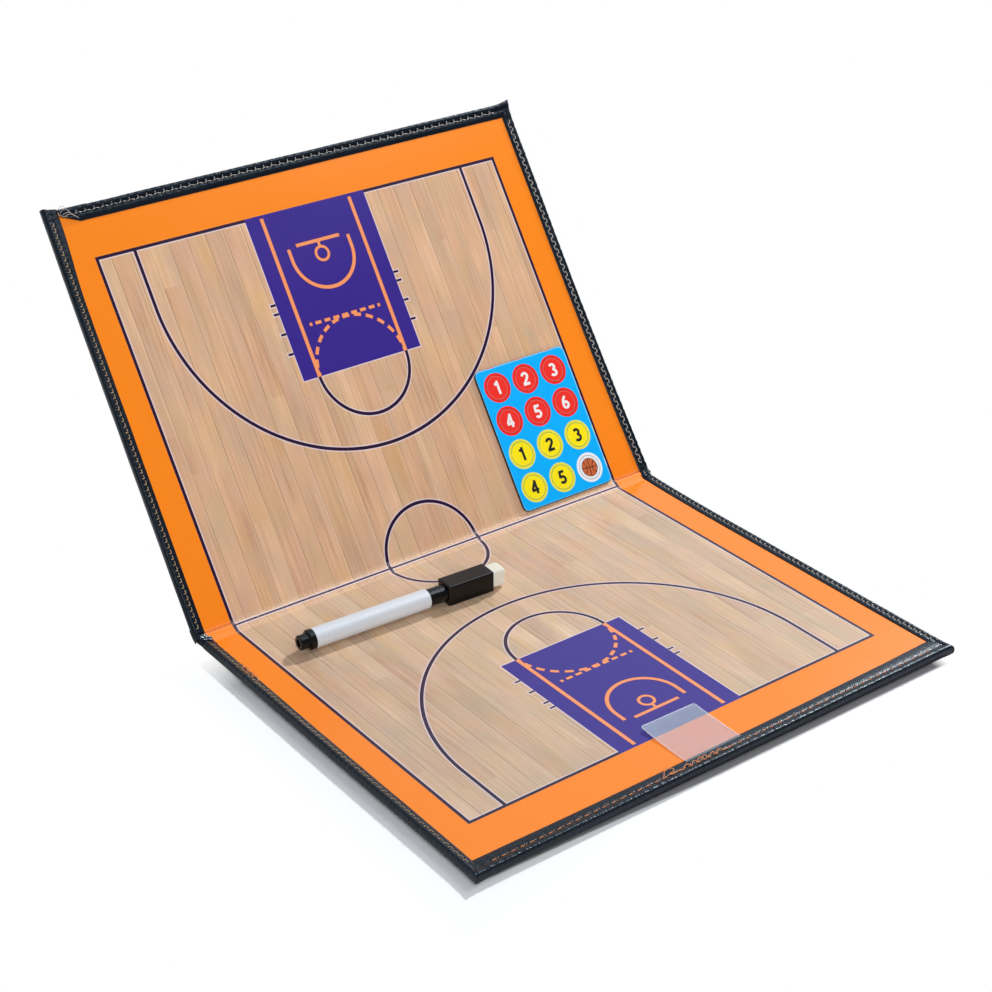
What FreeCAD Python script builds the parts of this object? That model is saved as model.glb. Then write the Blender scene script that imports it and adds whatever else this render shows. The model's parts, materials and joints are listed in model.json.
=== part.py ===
import FreeCAD, Part
import math
import os

# A folding tactics board: two leather-bound panels with a printed court, joined by a narrow spine
# between two creases, with a clear closing tab, a dry-wipe pen and a sheet of magnetic tokens.
# Frame: +X along the spine, +Y from the front edge to the spine, +Z up, lengths in millimetres.
# Origin: the middle of the base panel's underside.

Vector = FreeCAD.Vector
Placement = FreeCAD.Placement
Rotation = FreeCAD.Rotation
AXIS_X = Vector(1, 0, 0)
AXIS_Z = Vector(0, 0, 1)

# Panels and fold
PANEL_WIDTH = 267.0
BASE_DEPTH = 209.0
COVER_DEPTH = 206.5
SPINE_WIDTH = 5.0
FOLD_AT_REST = 27.4
CREASE_CLEARANCE = 0.05

# Layers, from the outer face to the printed face
LEATHER = 0.9
BOARD = 2.8
STEEL = 0.3
SHEET = 0.5
LAYER_CLEARANCE = 0.1

# Leather rolled up round the boards
EDGE_WALL = 1.2
UNDER_ROLL = 2.2

# Binding sewn over the sheet's margin
BINDING = 1.0
BINDING_ROLL = 0.8
SIDE_BINDING_WIDTH = 6.4
END_BINDING_EXTRA = 2.0
CUT_END_GAP = 0.6
CUT_END_SLANT = 8.0

# Clear closing tab
TAB_WIDTH = 30.5
TAB_LENGTH = 26.5
TAB_THICKNESS = 0.5
TAB_TAIL = 5.0
TAB_SHOW = 1.5
TAB_CURVE = 400.0
TAB_OFF_CENTRE = -5.0
TAB_CLEARANCE = 0.1

# Pen
PEN_FROM_CREASE = 37.0
PEN_OFF_CENTRE = -25.8
PEN_TURN = -2.8
BARREL_LENGTH = 61.2
BARREL_DIAMETER = 9.6
BARREL_BORE = 7.6
BARREL_CHAMFER = 0.4
PEN_FIT = 0.1
PLUG_FLANGE = 2.9
PLUG_FLANGE_CHAMFER = 0.6
PLUG_SPIGOT = 6.0
KNOB_LENGTH = 4.5
KNOB_DIAMETER = 7.2
KNOB_CHAMFER = 0.5
KNOB_DIMPLE_DIAMETER = 3.6
KNOB_DIMPLE_DEPTH = 0.8
HOLDER_SPIGOT = 9.0
HOLDER_NOSE = 11.0
HOLDER_TIP = 5.0
HOLDER_TIP_DIAMETER = 4.0
NIB_DIAMETER = 2.4
NIB_LENGTH = 3.5
NIB_TIP_DIAMETER = 1.2
NIB_TIP_LENGTH = 1.2

# Cap and eraser
SLEEVE_LENGTH = 9.3
SLEEVE_DIAMETER = 8.4
CAP_LENGTH = 25.3
CAP_WIDTH = 10.2
CAP_HEIGHT = 10.7
CAP_ROUND = 0.7
CAP_BORE = 6.8
CAP_BORE_END_WALL = 3.0
CAP_LIP = 0.7
ERASER_SEAT = 3.5
ERASER_LENGTH = 7.3
ERASER_ROUND = 1.4

# Token sheet and tokens
MAGNET = 1.0
TOKEN_DIAMETER = 12.6
TOKEN_SPACING = 5.4
TOKEN_GAP = 0.2
CARRIER_MARGIN = 4.4
CARRIER_CORNER = 3.5
CARRIER_FROM_SIDE = 21.7
CARRIER_FROM_CREASE = 0.4
TOKEN_ROWS = (
    ("yellow_4", "yellow_5", "ball"),
    ("yellow_1", "yellow_2", "yellow_3"),
    ("red_4", "red_5", "red_6"),
    ("red_1", "red_2", "red_3"),
)

OVERRUN = 5.0

# Worked out from the sizes above
STACK = LEATHER + BOARD + STEEL + SHEET
END_BINDING_WIDTH = SIDE_BINDING_WIDTH + END_BINDING_EXTRA
HALF_WIDTH = PANEL_WIDTH / 2
INNER_HALF_WIDTH = HALF_WIDTH - EDGE_WALL - LAYER_CLEARANCE
TAB_HINGE = -BASE_DEPTH + END_BINDING_WIDTH + TAB_SHOW
BOARD_FLOOR = -STACK + LEATHER
STEEL_FLOOR = BOARD_FLOOR + BOARD
SHEET_FLOOR = STEEL_FLOOR + STEEL
TOKEN_PITCH = TOKEN_DIAMETER + TOKEN_SPACING
CARRIER_BORDER = CARRIER_MARGIN + TOKEN_DIAMETER / 2

# Places of the bodies. Each panel is drawn with its crease along X at the origin and its print at z = 0.
BASE_PLACE = Placement(Vector(0, BASE_DEPTH / 2, STACK), Rotation())
FOLD = Rotation(AXIS_X, FOLD_AT_REST)
SPINE_PLACE = BASE_PLACE * Placement(Vector(), FOLD)
COVER_PLACE = SPINE_PLACE * Placement(Vector(0, SPINE_WIDTH, 0), FOLD)
PEN_SPOT = Vector(PEN_OFF_CENTRE, -PEN_FROM_CREASE, CAP_HEIGHT / 2)
PEN_PLACE = BASE_PLACE * Placement(PEN_SPOT, Rotation(AXIS_Z, PEN_TURN))


def slab(x_span, y_span, z_span):
    """A box between two corners, given as low and high along each axis."""
    low = Vector(x_span[0], y_span[0], z_span[0])
    return Part.makeBox(
        x_span[1] - x_span[0], y_span[1] - y_span[0], z_span[1] - z_span[0], low
    )


def rounded_face(corners, to_space):
    """A flat face through corners of (u, v, radius), with each corner rounded by its radius."""
    edges = []
    count = len(corners)
    trims = []
    for index, (u, v, radius) in enumerate(corners):
        spot = to_space(u, v)
        before = to_space(*corners[index - 1][:2]) - spot
        after = to_space(*corners[(index + 1) % count][:2]) - spot
        before.normalize()
        after.normalize()
        half_angle = before.getAngle(after) / 2
        reach = radius / math.tan(half_angle)
        bisector = before + after
        bisector.normalize()
        middle = spot + bisector * (radius / math.sin(half_angle) - radius)
        trims.append((spot + before * reach, middle, spot + after * reach, radius))
    for index, (start, middle, end, radius) in enumerate(trims):
        if radius > 0:
            edges.append(Part.Arc(start, middle, end).toShape())
        following = trims[(index + 1) % count][0]
        edges.append(Part.LineSegment(end, following).toShape())
    return Part.Face(Part.Wire(edges))


def plan_prism(corners, z_low, z_high):
    """A prism over corners of (x, y, radius) between two heights."""
    face = rounded_face(corners, lambda x, y: Vector(x, y, z_low))
    return face.extrude(Vector(0, 0, z_high - z_low))


def turned(outline):
    """A solid of revolution about X, from corners of (x, radius from the axis)."""
    corners = [Vector(x, radius, 0) for x, radius in outline]
    face = Part.Face(Part.makePolygon(corners + corners[:1]))
    return face.revolve(Vector(), AXIS_X, 360)


def placed(shape, place):
    """A copy of the shape, moved from its own drawing place to its place on the board."""
    return shape.transformed(place.toMatrix(), True)


def facing_spine(shape):
    """The cover's pieces are drawn as the base's and turned over to the other side of the crease."""
    return shape.mirror(Vector(), Vector(0, 1, 0))


def across_section(y):
    """Section across both rolled side edges, in the plane at y."""
    corners = [
        (-HALF_WIDTH, -STACK, UNDER_ROLL),
        (HALF_WIDTH, -STACK, UNDER_ROLL),
        (HALF_WIDTH, BINDING, BINDING_ROLL),
        (-HALF_WIDTH, BINDING, BINDING_ROLL),
    ]
    return rounded_face(corners, lambda x, z: Vector(x, y, z))


def side_roll(depth):
    """Outer form of the two side edges, run along the panel and past its ends."""
    across = across_section(-depth - OVERRUN)
    return across.extrude(Vector(0, depth + OVERRUN - CREASE_CLEARANCE, 0))


def end_roll(depth):
    """Outer form of the end edge opposite the crease, run across the panel and past its sides."""
    corners = [
        (-depth, -STACK, UNDER_ROLL),
        (-CREASE_CLEARANCE, -STACK, 0),
        (-CREASE_CLEARANCE, BINDING, 0),
        (-depth, BINDING, BINDING_ROLL),
    ]
    start = -HALF_WIDTH - OVERRUN
    along = rounded_face(corners, lambda y, z: Vector(start, y, z))
    return along.extrude(Vector(PANEL_WIDTH + 2 * OVERRUN, 0, 0))


def panel_envelope(depth):
    """Outer form of a panel: its side edges cut by its end edge."""
    return end_roll(depth).common(side_roll(depth))


def leather_tray(depth):
    """Outer leather: a floor with three rolled walls, open at the crease."""
    below = slab(
        (-HALF_WIDTH - OVERRUN, HALF_WIDTH + OVERRUN),
        (-depth - OVERRUN, OVERRUN),
        (-STACK - OVERRUN, 0),
    )
    pocket = slab(
        (-HALF_WIDTH + EDGE_WALL, HALF_WIDTH - EDGE_WALL),
        (-depth + EDGE_WALL, OVERRUN),
        (BOARD_FLOOR, OVERRUN),
    )
    return panel_envelope(depth).common(below).cut(pocket)


def panel_layer(depth, z_low, thickness):
    """One flat layer inside the leather tray."""
    return slab(
        (-INNER_HALF_WIDTH, INNER_HALF_WIDTH),
        (-depth + EDGE_WALL + LAYER_CLEARANCE, -CREASE_CLEARANCE),
        (z_low, z_low + thickness),
    )


def crease_mitre(crease_y, side):
    """Wedge that a binding loses beside a crease, so that the folded strips meet at 45 degrees."""
    reach = BINDING + OVERRUN
    corners = [
        (crease_y, 0, 0),
        (crease_y + side * reach, reach, 0),
        (crease_y - side * reach, reach, 0),
        (crease_y - side * reach, 0, 0),
    ]
    start = -HALF_WIDTH - OVERRUN
    face = rounded_face(corners, lambda y, z: Vector(start, y, z))
    return face.extrude(Vector(PANEL_WIDTH + 2 * OVERRUN, 0, 0))


def mitred_side(depth, side):
    """Plan of a side binding whose outer end is mitred to the end binding."""
    inner = side * (HALF_WIDTH - SIDE_BINDING_WIDTH)
    return [
        (side * HALF_WIDTH, -depth, 0),
        (inner, -depth + SIDE_BINDING_WIDTH, 0),
        (inner, OVERRUN, 0),
        (side * HALF_WIDTH, OVERRUN, 0),
    ]


def through_side(depth, side):
    """Plan of a side binding that runs right through to the panel's corner."""
    return [
        (side * HALF_WIDTH, -depth, 0),
        (side * (HALF_WIDTH - SIDE_BINDING_WIDTH), -depth, 0),
        (side * (HALF_WIDTH - SIDE_BINDING_WIDTH), OVERRUN, 0),
        (side * HALF_WIDTH, OVERRUN, 0),
    ]


def mitred_end(depth, side):
    """The corners of an end binding at a mitred end, outer edge first."""
    inner = side * (HALF_WIDTH - SIDE_BINDING_WIDTH)
    return [
        (side * HALF_WIDTH, -depth, 0),
        (inner, -depth + SIDE_BINDING_WIDTH, 0),
        (inner, -depth + END_BINDING_WIDTH, 0),
    ]


def cut_end(depth, side):
    """The two corners of an end binding that stops short of a side binding, cut on a slant."""
    outer = HALF_WIDTH - SIDE_BINDING_WIDTH - CUT_END_GAP
    return [
        (side * outer, -depth, 0),
        (side * (outer - CUT_END_SLANT), -depth + END_BINDING_WIDTH, 0),
    ]


def binding_strip(roll, plan):
    """A binding strip over the plan, with its outer edge rolled as the panel's."""
    prism = plan_prism(plan, 0, BINDING + OVERRUN)
    return roll.common(prism).cut(crease_mitre(0, -1))


def tab_slot():
    """Room under the front binding for the tab's sewn tail."""
    half = TAB_WIDTH / 2 + TAB_CLEARANCE
    inner_edge = -BASE_DEPTH + END_BINDING_WIDTH
    return slab(
        (TAB_OFF_CENTRE - half, TAB_OFF_CENTRE + half),
        (inner_edge - TAB_TAIL - TAB_CLEARANCE, inner_edge + OVERRUN),
        (-OVERRUN, TAB_THICKNESS + TAB_CLEARANCE),
    )


def panel_layers(depth):
    """The layers that both panels have, drawn as the base panel's."""
    return {
        "leather": leather_tray(depth),
        "board": panel_layer(depth, BOARD_FLOOR, BOARD),
        "steel_sheet": panel_layer(depth, STEEL_FLOOR, STEEL),
        "court_sheet": panel_layer(depth, SHEET_FLOOR, SHEET),
    }


def base_panel():
    """Base panel: mitred binding at both front corners, and the tab's slot in the front strip."""
    pieces = panel_layers(BASE_DEPTH)
    end = end_roll(BASE_DEPTH)
    sides = side_roll(BASE_DEPTH)
    front = mitred_end(BASE_DEPTH, -1) + mitred_end(BASE_DEPTH, 1)[::-1]
    pieces["binding_front"] = binding_strip(end, front).cut(tab_slot())
    pieces["binding_left"] = binding_strip(sides, mitred_side(BASE_DEPTH, -1))
    pieces["binding_right"] = binding_strip(sides, mitred_side(BASE_DEPTH, 1))
    return {f"base_{name}": placed(shape, BASE_PLACE) for name, shape in pieces.items()}


def cover_panel():
    """Cover panel: its left binding runs through, and its top binding starts with a slanted cut."""
    pieces = panel_layers(COVER_DEPTH)
    top = cut_end(COVER_DEPTH, -1) + mitred_end(COVER_DEPTH, 1)[::-1]
    through = through_side(COVER_DEPTH, -1)
    pieces["binding_top"] = binding_strip(end_roll(COVER_DEPTH), top)
    pieces["binding_left"] = binding_strip(panel_envelope(COVER_DEPTH), through)
    pieces["binding_right"] = binding_strip(side_roll(COVER_DEPTH), mitred_side(COVER_DEPTH, 1))
    return {
        f"cover_{name}": placed(facing_spine(shape), COVER_PLACE) for name, shape in pieces.items()
    }


def spine():
    """Spine between the creases: leather trough, narrow board, printed strip, two binding ends."""
    span = (CREASE_CLEARANCE, SPINE_WIDTH - CREASE_CLEARANCE)
    wide = (-HALF_WIDTH - OVERRUN, HALF_WIDTH + OVERRUN)
    inner = (-INNER_HALF_WIDTH, INNER_HALF_WIDTH)
    envelope = across_section(span[0]).extrude(Vector(0, span[1] - span[0], 0))
    pocket = slab(
        (-HALF_WIDTH + EDGE_WALL, HALF_WIDTH - EDGE_WALL),
        (-OVERRUN, SPINE_WIDTH + OVERRUN),
        (BOARD_FLOOR, OVERRUN),
    )
    above = slab(wide, (-OVERRUN, SPINE_WIDTH + OVERRUN), (0, BINDING + OVERRUN))
    strips = envelope.common(above)
    strips = strips.cut(crease_mitre(0, 1)).cut(crease_mitre(SPINE_WIDTH, -1))
    strip_edge = HALF_WIDTH - SIDE_BINDING_WIDTH
    tall = (-OVERRUN, BINDING + OVERRUN)
    deep = (-OVERRUN, SPINE_WIDTH + OVERRUN)
    pieces = {
        "spine_leather": envelope.cut(above).cut(pocket),
        "spine_board": slab(inner, span, (BOARD_FLOOR, SHEET_FLOOR)),
        "spine_court_strip": slab(inner, span, (SHEET_FLOOR, 0)),
        "spine_binding_left": strips.common(slab((wide[0], -strip_edge), deep, tall)),
        "spine_binding_right": strips.common(slab((strip_edge, wide[1]), deep, tall)),
    }
    return {name: placed(shape, SPINE_PLACE) for name, shape in pieces.items()}


def crease_leather():
    """Soft leather bent round the outside of a crease, with its end walls."""
    corners = [
        (-HALF_WIDTH, -STACK, UNDER_ROLL),
        (HALF_WIDTH, -STACK, UNDER_ROLL),
        (HALF_WIDTH, -LEATHER, 0),
        (-HALF_WIDTH, -LEATHER, 0),
    ]
    section = rounded_face(corners, lambda x, z: Vector(x, 0, z))
    bent = section.revolve(Vector(), AXIS_X, FOLD_AT_REST)
    length = PANEL_WIDTH - 2 * EDGE_WALL
    start = Vector(-length / 2, 0, 0)
    return bent.cut(Part.makeCylinder(STACK - LEATHER, length, start, AXIS_X))


def creases():
    """The bent leather of the lower crease and of the upper one."""
    upper_place = SPINE_PLACE * Placement(Vector(0, SPINE_WIDTH, 0), Rotation())
    return {
        "crease_leather_lower": placed(crease_leather(), BASE_PLACE),
        "crease_leather_upper": placed(crease_leather(), upper_place),
    }


def closing_tab():
    """Clear tab: a flat tail sewn under the front binding, and a flap that curls up off the print."""
    sides = (TAB_OFF_CENTRE - TAB_WIDTH / 2, TAB_OFF_CENTRE + TAB_WIDTH / 2)
    tail_start = -BASE_DEPTH + END_BINDING_WIDTH - TAB_TAIL
    tail = slab(sides, (tail_start, TAB_HINGE - CREASE_CLEARANCE), (0, TAB_THICKNESS))
    curl = TAB_LENGTH / TAB_CURVE
    centre = Vector(sides[0], TAB_HINGE + CREASE_CLEARANCE, TAB_CURVE + TAB_CLEARANCE)

    def on_arc(radius, angle):
        return centre + Vector(0, radius * math.sin(angle), -radius * math.cos(angle))

    lower = [on_arc(TAB_CURVE, turn) for turn in (0, curl / 2, curl)]
    upper = [on_arc(TAB_CURVE - TAB_THICKNESS, turn) for turn in (curl, curl / 2, 0)]
    edges = [
        Part.Arc(*lower).toShape(),
        Part.LineSegment(lower[-1], upper[0]).toShape(),
        Part.Arc(*upper).toShape(),
        Part.LineSegment(upper[-1], lower[0]).toShape(),
    ]
    flap = Part.Face(Part.Wire(edges)).extrude(Vector(TAB_WIDTH, 0, 0))
    return {"tab_tail": placed(tail, BASE_PLACE), "closing_tab": placed(flap, BASE_PLACE)}


def pen_barrel():
    """White tube from the end plug to the cap's sleeve."""
    end = -SLEEVE_LENGTH
    start = end - BARREL_LENGTH
    radius = BARREL_DIAMETER / 2
    return turned([
        (start, BARREL_BORE / 2),
        (end, BARREL_BORE / 2),
        (end, radius - BARREL_CHAMFER),
        (end - BARREL_CHAMFER, radius),
        (start, radius),
    ])


def pen_end_plug():
    """Black plug: a spigot in the barrel, a flange against its end and a dimpled knob outside."""
    seat = -SLEEVE_LENGTH - BARREL_LENGTH
    flange_end = seat - PLUG_FLANGE
    tip = flange_end - KNOB_LENGTH
    spigot_radius = BARREL_BORE / 2 - PEN_FIT
    flange_radius = BARREL_DIAMETER / 2
    knob_radius = KNOB_DIAMETER / 2
    dimple_radius = KNOB_DIMPLE_DIAMETER / 2
    return turned([
        (seat + PLUG_SPIGOT, 0),
        (seat + PLUG_SPIGOT, spigot_radius),
        (seat, spigot_radius),
        (seat, flange_radius),
        (flange_end + PLUG_FLANGE_CHAMFER, flange_radius),
        (flange_end, flange_radius - PLUG_FLANGE_CHAMFER),
        (flange_end, knob_radius),
        (tip + KNOB_CHAMFER, knob_radius),
        (tip, knob_radius - KNOB_CHAMFER),
        (tip, dimple_radius),
        (tip + KNOB_DIMPLE_DEPTH, dimple_radius),
        (tip + KNOB_DIMPLE_DEPTH, 0),
    ])


def nib_holder():
    """Black nose that the cap slides over, with a spigot in the barrel and a bore for the nib."""
    seat = -SLEEVE_LENGTH
    back = seat - HOLDER_SPIGOT
    nose_end = seat + HOLDER_NOSE
    tip = nose_end + HOLDER_TIP
    bore = NIB_DIAMETER / 2 + PEN_FIT
    return turned([
        (back, bore),
        (tip, bore),
        (tip, HOLDER_TIP_DIAMETER / 2),
        (nose_end, CAP_BORE / 2 - PEN_FIT),
        (seat, CAP_BORE / 2 - PEN_FIT),
        (seat, BARREL_BORE / 2 - PEN_FIT),
        (back, BARREL_BORE / 2 - PEN_FIT),
    ])


def pen_nib():
    """Fibre nib from the reservoir through the holder to its narrow tip."""
    back = -SLEEVE_LENGTH - HOLDER_SPIGOT
    tip = -SLEEVE_LENGTH + HOLDER_NOSE + HOLDER_TIP + NIB_LENGTH
    return turned([
        (back, 0),
        (tip, 0),
        (tip, NIB_TIP_DIAMETER / 2),
        (tip - NIB_TIP_LENGTH, NIB_DIAMETER / 2),
        (back, NIB_DIAMETER / 2),
    ])


def ink_reservoir():
    """Fibre rod that fills the barrel between the plug and the nib holder."""
    start = -SLEEVE_LENGTH - BARREL_LENGTH + PLUG_SPIGOT + PEN_FIT
    end = -SLEEVE_LENGTH - HOLDER_SPIGOT - PEN_FIT
    radius = BARREL_BORE / 2 - PEN_FIT
    return turned([(start, 0), (end, 0), (end, radius), (start, radius)])


def eraser_block(length, clearance):
    """Block behind the cap's end, from the bottom of its seat outwards, drawn about the pen's axis."""
    half_width = CAP_WIDTH / 2 - CAP_LIP - clearance
    half_height = CAP_HEIGHT / 2 - CAP_LIP - clearance
    start = CAP_LENGTH - ERASER_SEAT
    return slab((start, start + length), (-half_width, half_width), (-half_height, half_height))


def pen_cap():
    """Square cap with rounded edges, a round sleeve, a blind bore and a seat for the eraser."""
    head = slab(
        (0, CAP_LENGTH), (-CAP_WIDTH / 2, CAP_WIDTH / 2), (-CAP_HEIGHT / 2, CAP_HEIGHT / 2)
    )
    head = head.makeFillet(CAP_ROUND, head.Edges)
    sleeve_start = Vector(-SLEEVE_LENGTH, 0, 0)
    sleeve = Part.makeCylinder(SLEEVE_DIAMETER / 2, SLEEVE_LENGTH + CAP_ROUND, sleeve_start, AXIS_X)
    bore_end = CAP_LENGTH - ERASER_SEAT - CAP_BORE_END_WALL
    bore_start = Vector(-SLEEVE_LENGTH - OVERRUN, 0, 0)
    bore_length = SLEEVE_LENGTH + OVERRUN + bore_end
    bore = Part.makeCylinder(CAP_BORE / 2, bore_length, bore_start, AXIS_X)
    return head.fuse(sleeve).cut(bore).cut(eraser_block(ERASER_SEAT + OVERRUN, 0)).removeSplitter()


def cap_eraser():
    """Felt eraser seated in the cap's end, with its outer edges worn round."""
    block = eraser_block(ERASER_SEAT + ERASER_LENGTH, PEN_FIT)
    outer = block.BoundBox.XMax
    end_edges = [edge for edge in block.Edges if edge.CenterOfMass.x > outer - PEN_FIT]
    return block.makeFillet(ERASER_ROUND, end_edges)


def pen():
    """All pieces of the pen, drawn along X with the cap's inner face at the origin."""
    pieces = {
        "pen_barrel": pen_barrel(),
        "pen_end_plug": pen_end_plug(),
        "ink_reservoir": ink_reservoir(),
        "nib_holder": nib_holder(),
        "pen_nib": pen_nib(),
        "pen_cap": pen_cap(),
        "cap_eraser": cap_eraser(),
    }
    return {name: placed(shape, PEN_PLACE) for name, shape in pieces.items()}


def token_centres():
    """Name and centre of each token on the cover's face."""
    width = (len(TOKEN_ROWS[0]) - 1) * TOKEN_PITCH + 2 * CARRIER_BORDER
    left = HALF_WIDTH - CARRIER_FROM_SIDE - width + CARRIER_BORDER
    bottom = CARRIER_FROM_CREASE + CARRIER_BORDER
    for row, names in enumerate(TOKEN_ROWS):
        for column, name in enumerate(names):
            yield name, left + column * TOKEN_PITCH, bottom + row * TOKEN_PITCH


def disc(x, y, radius, z_low, z_high):
    """A flat round disc on the cover's face."""
    return Part.makeCylinder(radius, z_high - z_low, Vector(x, y, z_low))


def token_sheet():
    """Magnet sheet with its round cut-outs, and the twelve tokens cut out of it."""
    centres = list(token_centres())
    columns = [x for _, x, _ in centres]
    rows = [y for _, _, y in centres]
    low = (min(columns) - CARRIER_BORDER, min(rows) - CARRIER_BORDER)
    high = (max(columns) + CARRIER_BORDER, max(rows) + CARRIER_BORDER)
    plan = [
        (low[0], low[1], CARRIER_CORNER),
        (high[0], low[1], CARRIER_CORNER),
        (high[0], high[1], CARRIER_CORNER),
        (low[0], high[1], CARRIER_CORNER),
    ]
    carrier = plan_prism(plan, 0, MAGNET)
    pieces = {}
    for name, x, y in centres:
        cut_out = disc(x, y, TOKEN_DIAMETER / 2 + TOKEN_GAP, -OVERRUN, MAGNET + OVERRUN)
        carrier = carrier.cut(cut_out)
        pieces[f"token_{name}"] = disc(x, y, TOKEN_DIAMETER / 2, 0, MAGNET)
    pieces["token_carrier"] = carrier
    return {name: placed(shape, COVER_PLACE) for name, shape in pieces.items()}


def build():
    """Every piece of the board by its name."""
    pieces = {}
    for group in (base_panel, spine, creases, cover_panel, closing_tab, pen, token_sheet):
        pieces.update(group())
    return pieces


os.makedirs("parts", exist_ok=True)
for piece_name, piece_shape in build().items():
    piece_shape.exportStep(f"parts/{piece_name}.step")
    print(piece_name, len(piece_shape.Solids), round(piece_shape.Volume), piece_shape.isValid())
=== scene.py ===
# %% [markdown]
# # A folding tactics board
# Two stiff panels lie side by side on a narrow spine. Leather is wrapped round the outside of all
# three, turned in over the edges and sewn down, and a printed court is laminated to the inside.
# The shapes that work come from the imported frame. This lesson dresses them: print, soft leather,
# thread, plastic and felt. Everything is in metres in the frame, but each panel is drawn in its own
# millimetres, because that is how such a board is measured.

# %% Load the frame
import json
import math

import bmesh
import bpy
from mathutils import Matrix, Vector, noise


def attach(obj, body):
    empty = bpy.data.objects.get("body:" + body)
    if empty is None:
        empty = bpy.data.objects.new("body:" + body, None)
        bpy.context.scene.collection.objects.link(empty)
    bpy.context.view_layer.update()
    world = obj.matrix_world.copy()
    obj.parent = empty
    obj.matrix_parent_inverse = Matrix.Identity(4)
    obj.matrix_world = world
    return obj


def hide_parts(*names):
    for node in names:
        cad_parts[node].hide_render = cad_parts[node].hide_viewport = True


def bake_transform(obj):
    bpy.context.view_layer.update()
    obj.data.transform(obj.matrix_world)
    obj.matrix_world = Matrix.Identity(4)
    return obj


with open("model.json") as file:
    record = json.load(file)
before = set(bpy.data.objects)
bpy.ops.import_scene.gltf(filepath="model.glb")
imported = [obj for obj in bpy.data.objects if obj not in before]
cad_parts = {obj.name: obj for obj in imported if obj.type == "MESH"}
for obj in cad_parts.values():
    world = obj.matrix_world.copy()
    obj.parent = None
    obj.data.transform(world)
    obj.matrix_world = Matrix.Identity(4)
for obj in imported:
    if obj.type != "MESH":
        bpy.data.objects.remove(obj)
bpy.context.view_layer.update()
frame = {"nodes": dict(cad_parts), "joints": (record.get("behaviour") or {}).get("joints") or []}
nodes = frame["nodes"]
joints = {joint["name"]: joint for joint in frame["joints"]}
print(len(nodes), "solids in the frame")

# %% [markdown]
# A panel's own millimetres are: across it, out from its crease, and up from its print. The two
# crease lines are the axes of the fold joints, so the frame itself says where each panel lies and
# how far it is folded. The base is drawn outwards to the front, so its second axis is turned over.

# %% Places of the three panels
MM = 0.001
HALF_WIDTH = 133.5
DEPTHS = {"base": 209.0, "cover": 206.5}
STACK = 4.5

lower_crease = Vector(joints["spine_fold"]["pos_m"])
upper_crease = Vector(joints["cover_fold"]["pos_m"])
spine_step = upper_crease - lower_crease
SPINE_WIDTH = spine_step.length / MM
FOLD = math.atan2(spine_step.z, spine_step.y)

# Each panel: its crease line, its tilt, and the side of the crease that it lies on
PANELS = {
    "base": (lower_crease, 0.0, -1),
    "spine": (lower_crease, FOLD, 1),
    "cover": (upper_crease, 2 * FOLD, 1),
}


def panel_place(panel):
    """Matrix from a panel's own millimetres to the frame."""
    origin, tilt, side = PANELS[panel]
    out = side * Vector((0, math.cos(tilt), math.sin(tilt)))
    up = Vector((0, -math.sin(tilt), math.cos(tilt)))
    axes = Matrix((Vector((1, 0, 0)), out, up)).transposed().to_4x4()
    return Matrix.Translation(origin) @ axes @ Matrix.Scale(MM, 4)


print("spine", round(SPINE_WIDTH, 2), "mm wide, each crease folded", round(math.degrees(FOLD), 1))

# %% [markdown]
# The camera was found by fitting the court's printed lines, whose proportions are known, so it is
# given here as a place and three directions. A long lens from some way off keeps the panels' edges
# nearly parallel, as in the photograph.

# %% Camera
camera_data = bpy.data.cameras.new("camera")
camera_data.lens = 74.4
camera_data.sensor_width = 36.0
camera = bpy.data.objects.new("camera", camera_data)
look = Vector((0.52696, 0.70446, -0.47545)).normalized()
upright = Vector((0.28997, 0.37683, 0.87973))
right = look.cross(upright).normalized()
turn = Matrix((right, right.cross(look), -look)).transposed().to_4x4()
camera.matrix_world = Matrix.Translation((-0.50047, -0.60867, 0.50757)) @ turn
bpy.context.scene.collection.objects.link(camera)
bpy.context.scene.camera = camera
print("camera looks along", [round(part, 3) for part in look])

# %% [markdown]
# Shader arithmetic is easier to read as Python than as a picture of nodes. A Signal wraps one
# socket: adding, multiplying or comparing Signals lays down Math nodes, and one method makes any
# other kind of node, with its settings first and then the values or links of its sockets.


# %% Shader arithmetic
class Signal:
    """One socket of a material's nodes, which Python arithmetic can be done on."""

    def __init__(self, tree, socket):
        self.tree = tree
        self.socket = socket

    def node(self, kind, inputs, output=0, stops=(), **settings):
        """Any node: its settings, a ramp's stops, then the values or links of its sockets."""
        made = self.tree.nodes.new("ShaderNode" + kind)
        for setting, value in settings.items():
            setattr(made, setting, value)
        for index, (place, colour) in enumerate(stops):
            steps = made.color_ramp.elements
            step = steps[index] if index < 2 else steps.new(place)
            step.position = place
            step.color = colour
        fill(made, inputs)
        return Signal(self.tree, made.outputs[output])

    def math(self, operation, *others, clamp=False):
        inputs = dict(enumerate((self,) + others))
        return self.node("Math", inputs, operation=operation, use_clamp=clamp)

    def __add__(self, other):
        return self.math("ADD", other)

    __radd__ = __add__

    def __mul__(self, other):
        return self.math("MULTIPLY", other)

    __rmul__ = __mul__

    def __sub__(self, other):
        return self.math("SUBTRACT", other)

    def __rsub__(self, other):
        return self.node("Math", {0: other, 1: self}, operation="SUBTRACT")

    def __truediv__(self, other):
        return self.math("DIVIDE", other)

    def __abs__(self):
        return self.math("ABSOLUTE")

    def split(self):
        """The three numbers of a vector."""
        outputs = self.node("SeparateXYZ", {0: self}).socket.node.outputs
        return [Signal(self.tree, socket) for socket in outputs]

    def joined(self, y, z):
        """A vector of three numbers."""
        return self.node("CombineXYZ", {0: self, 1: y, 2: z})


def fill(made, inputs):
    """Values and links of a node's sockets."""
    for key, value in inputs.items():
        if isinstance(value, Signal):
            value.tree.links.new(value.socket, made.inputs[key])
        else:
            made.inputs[key].default_value = value


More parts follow.
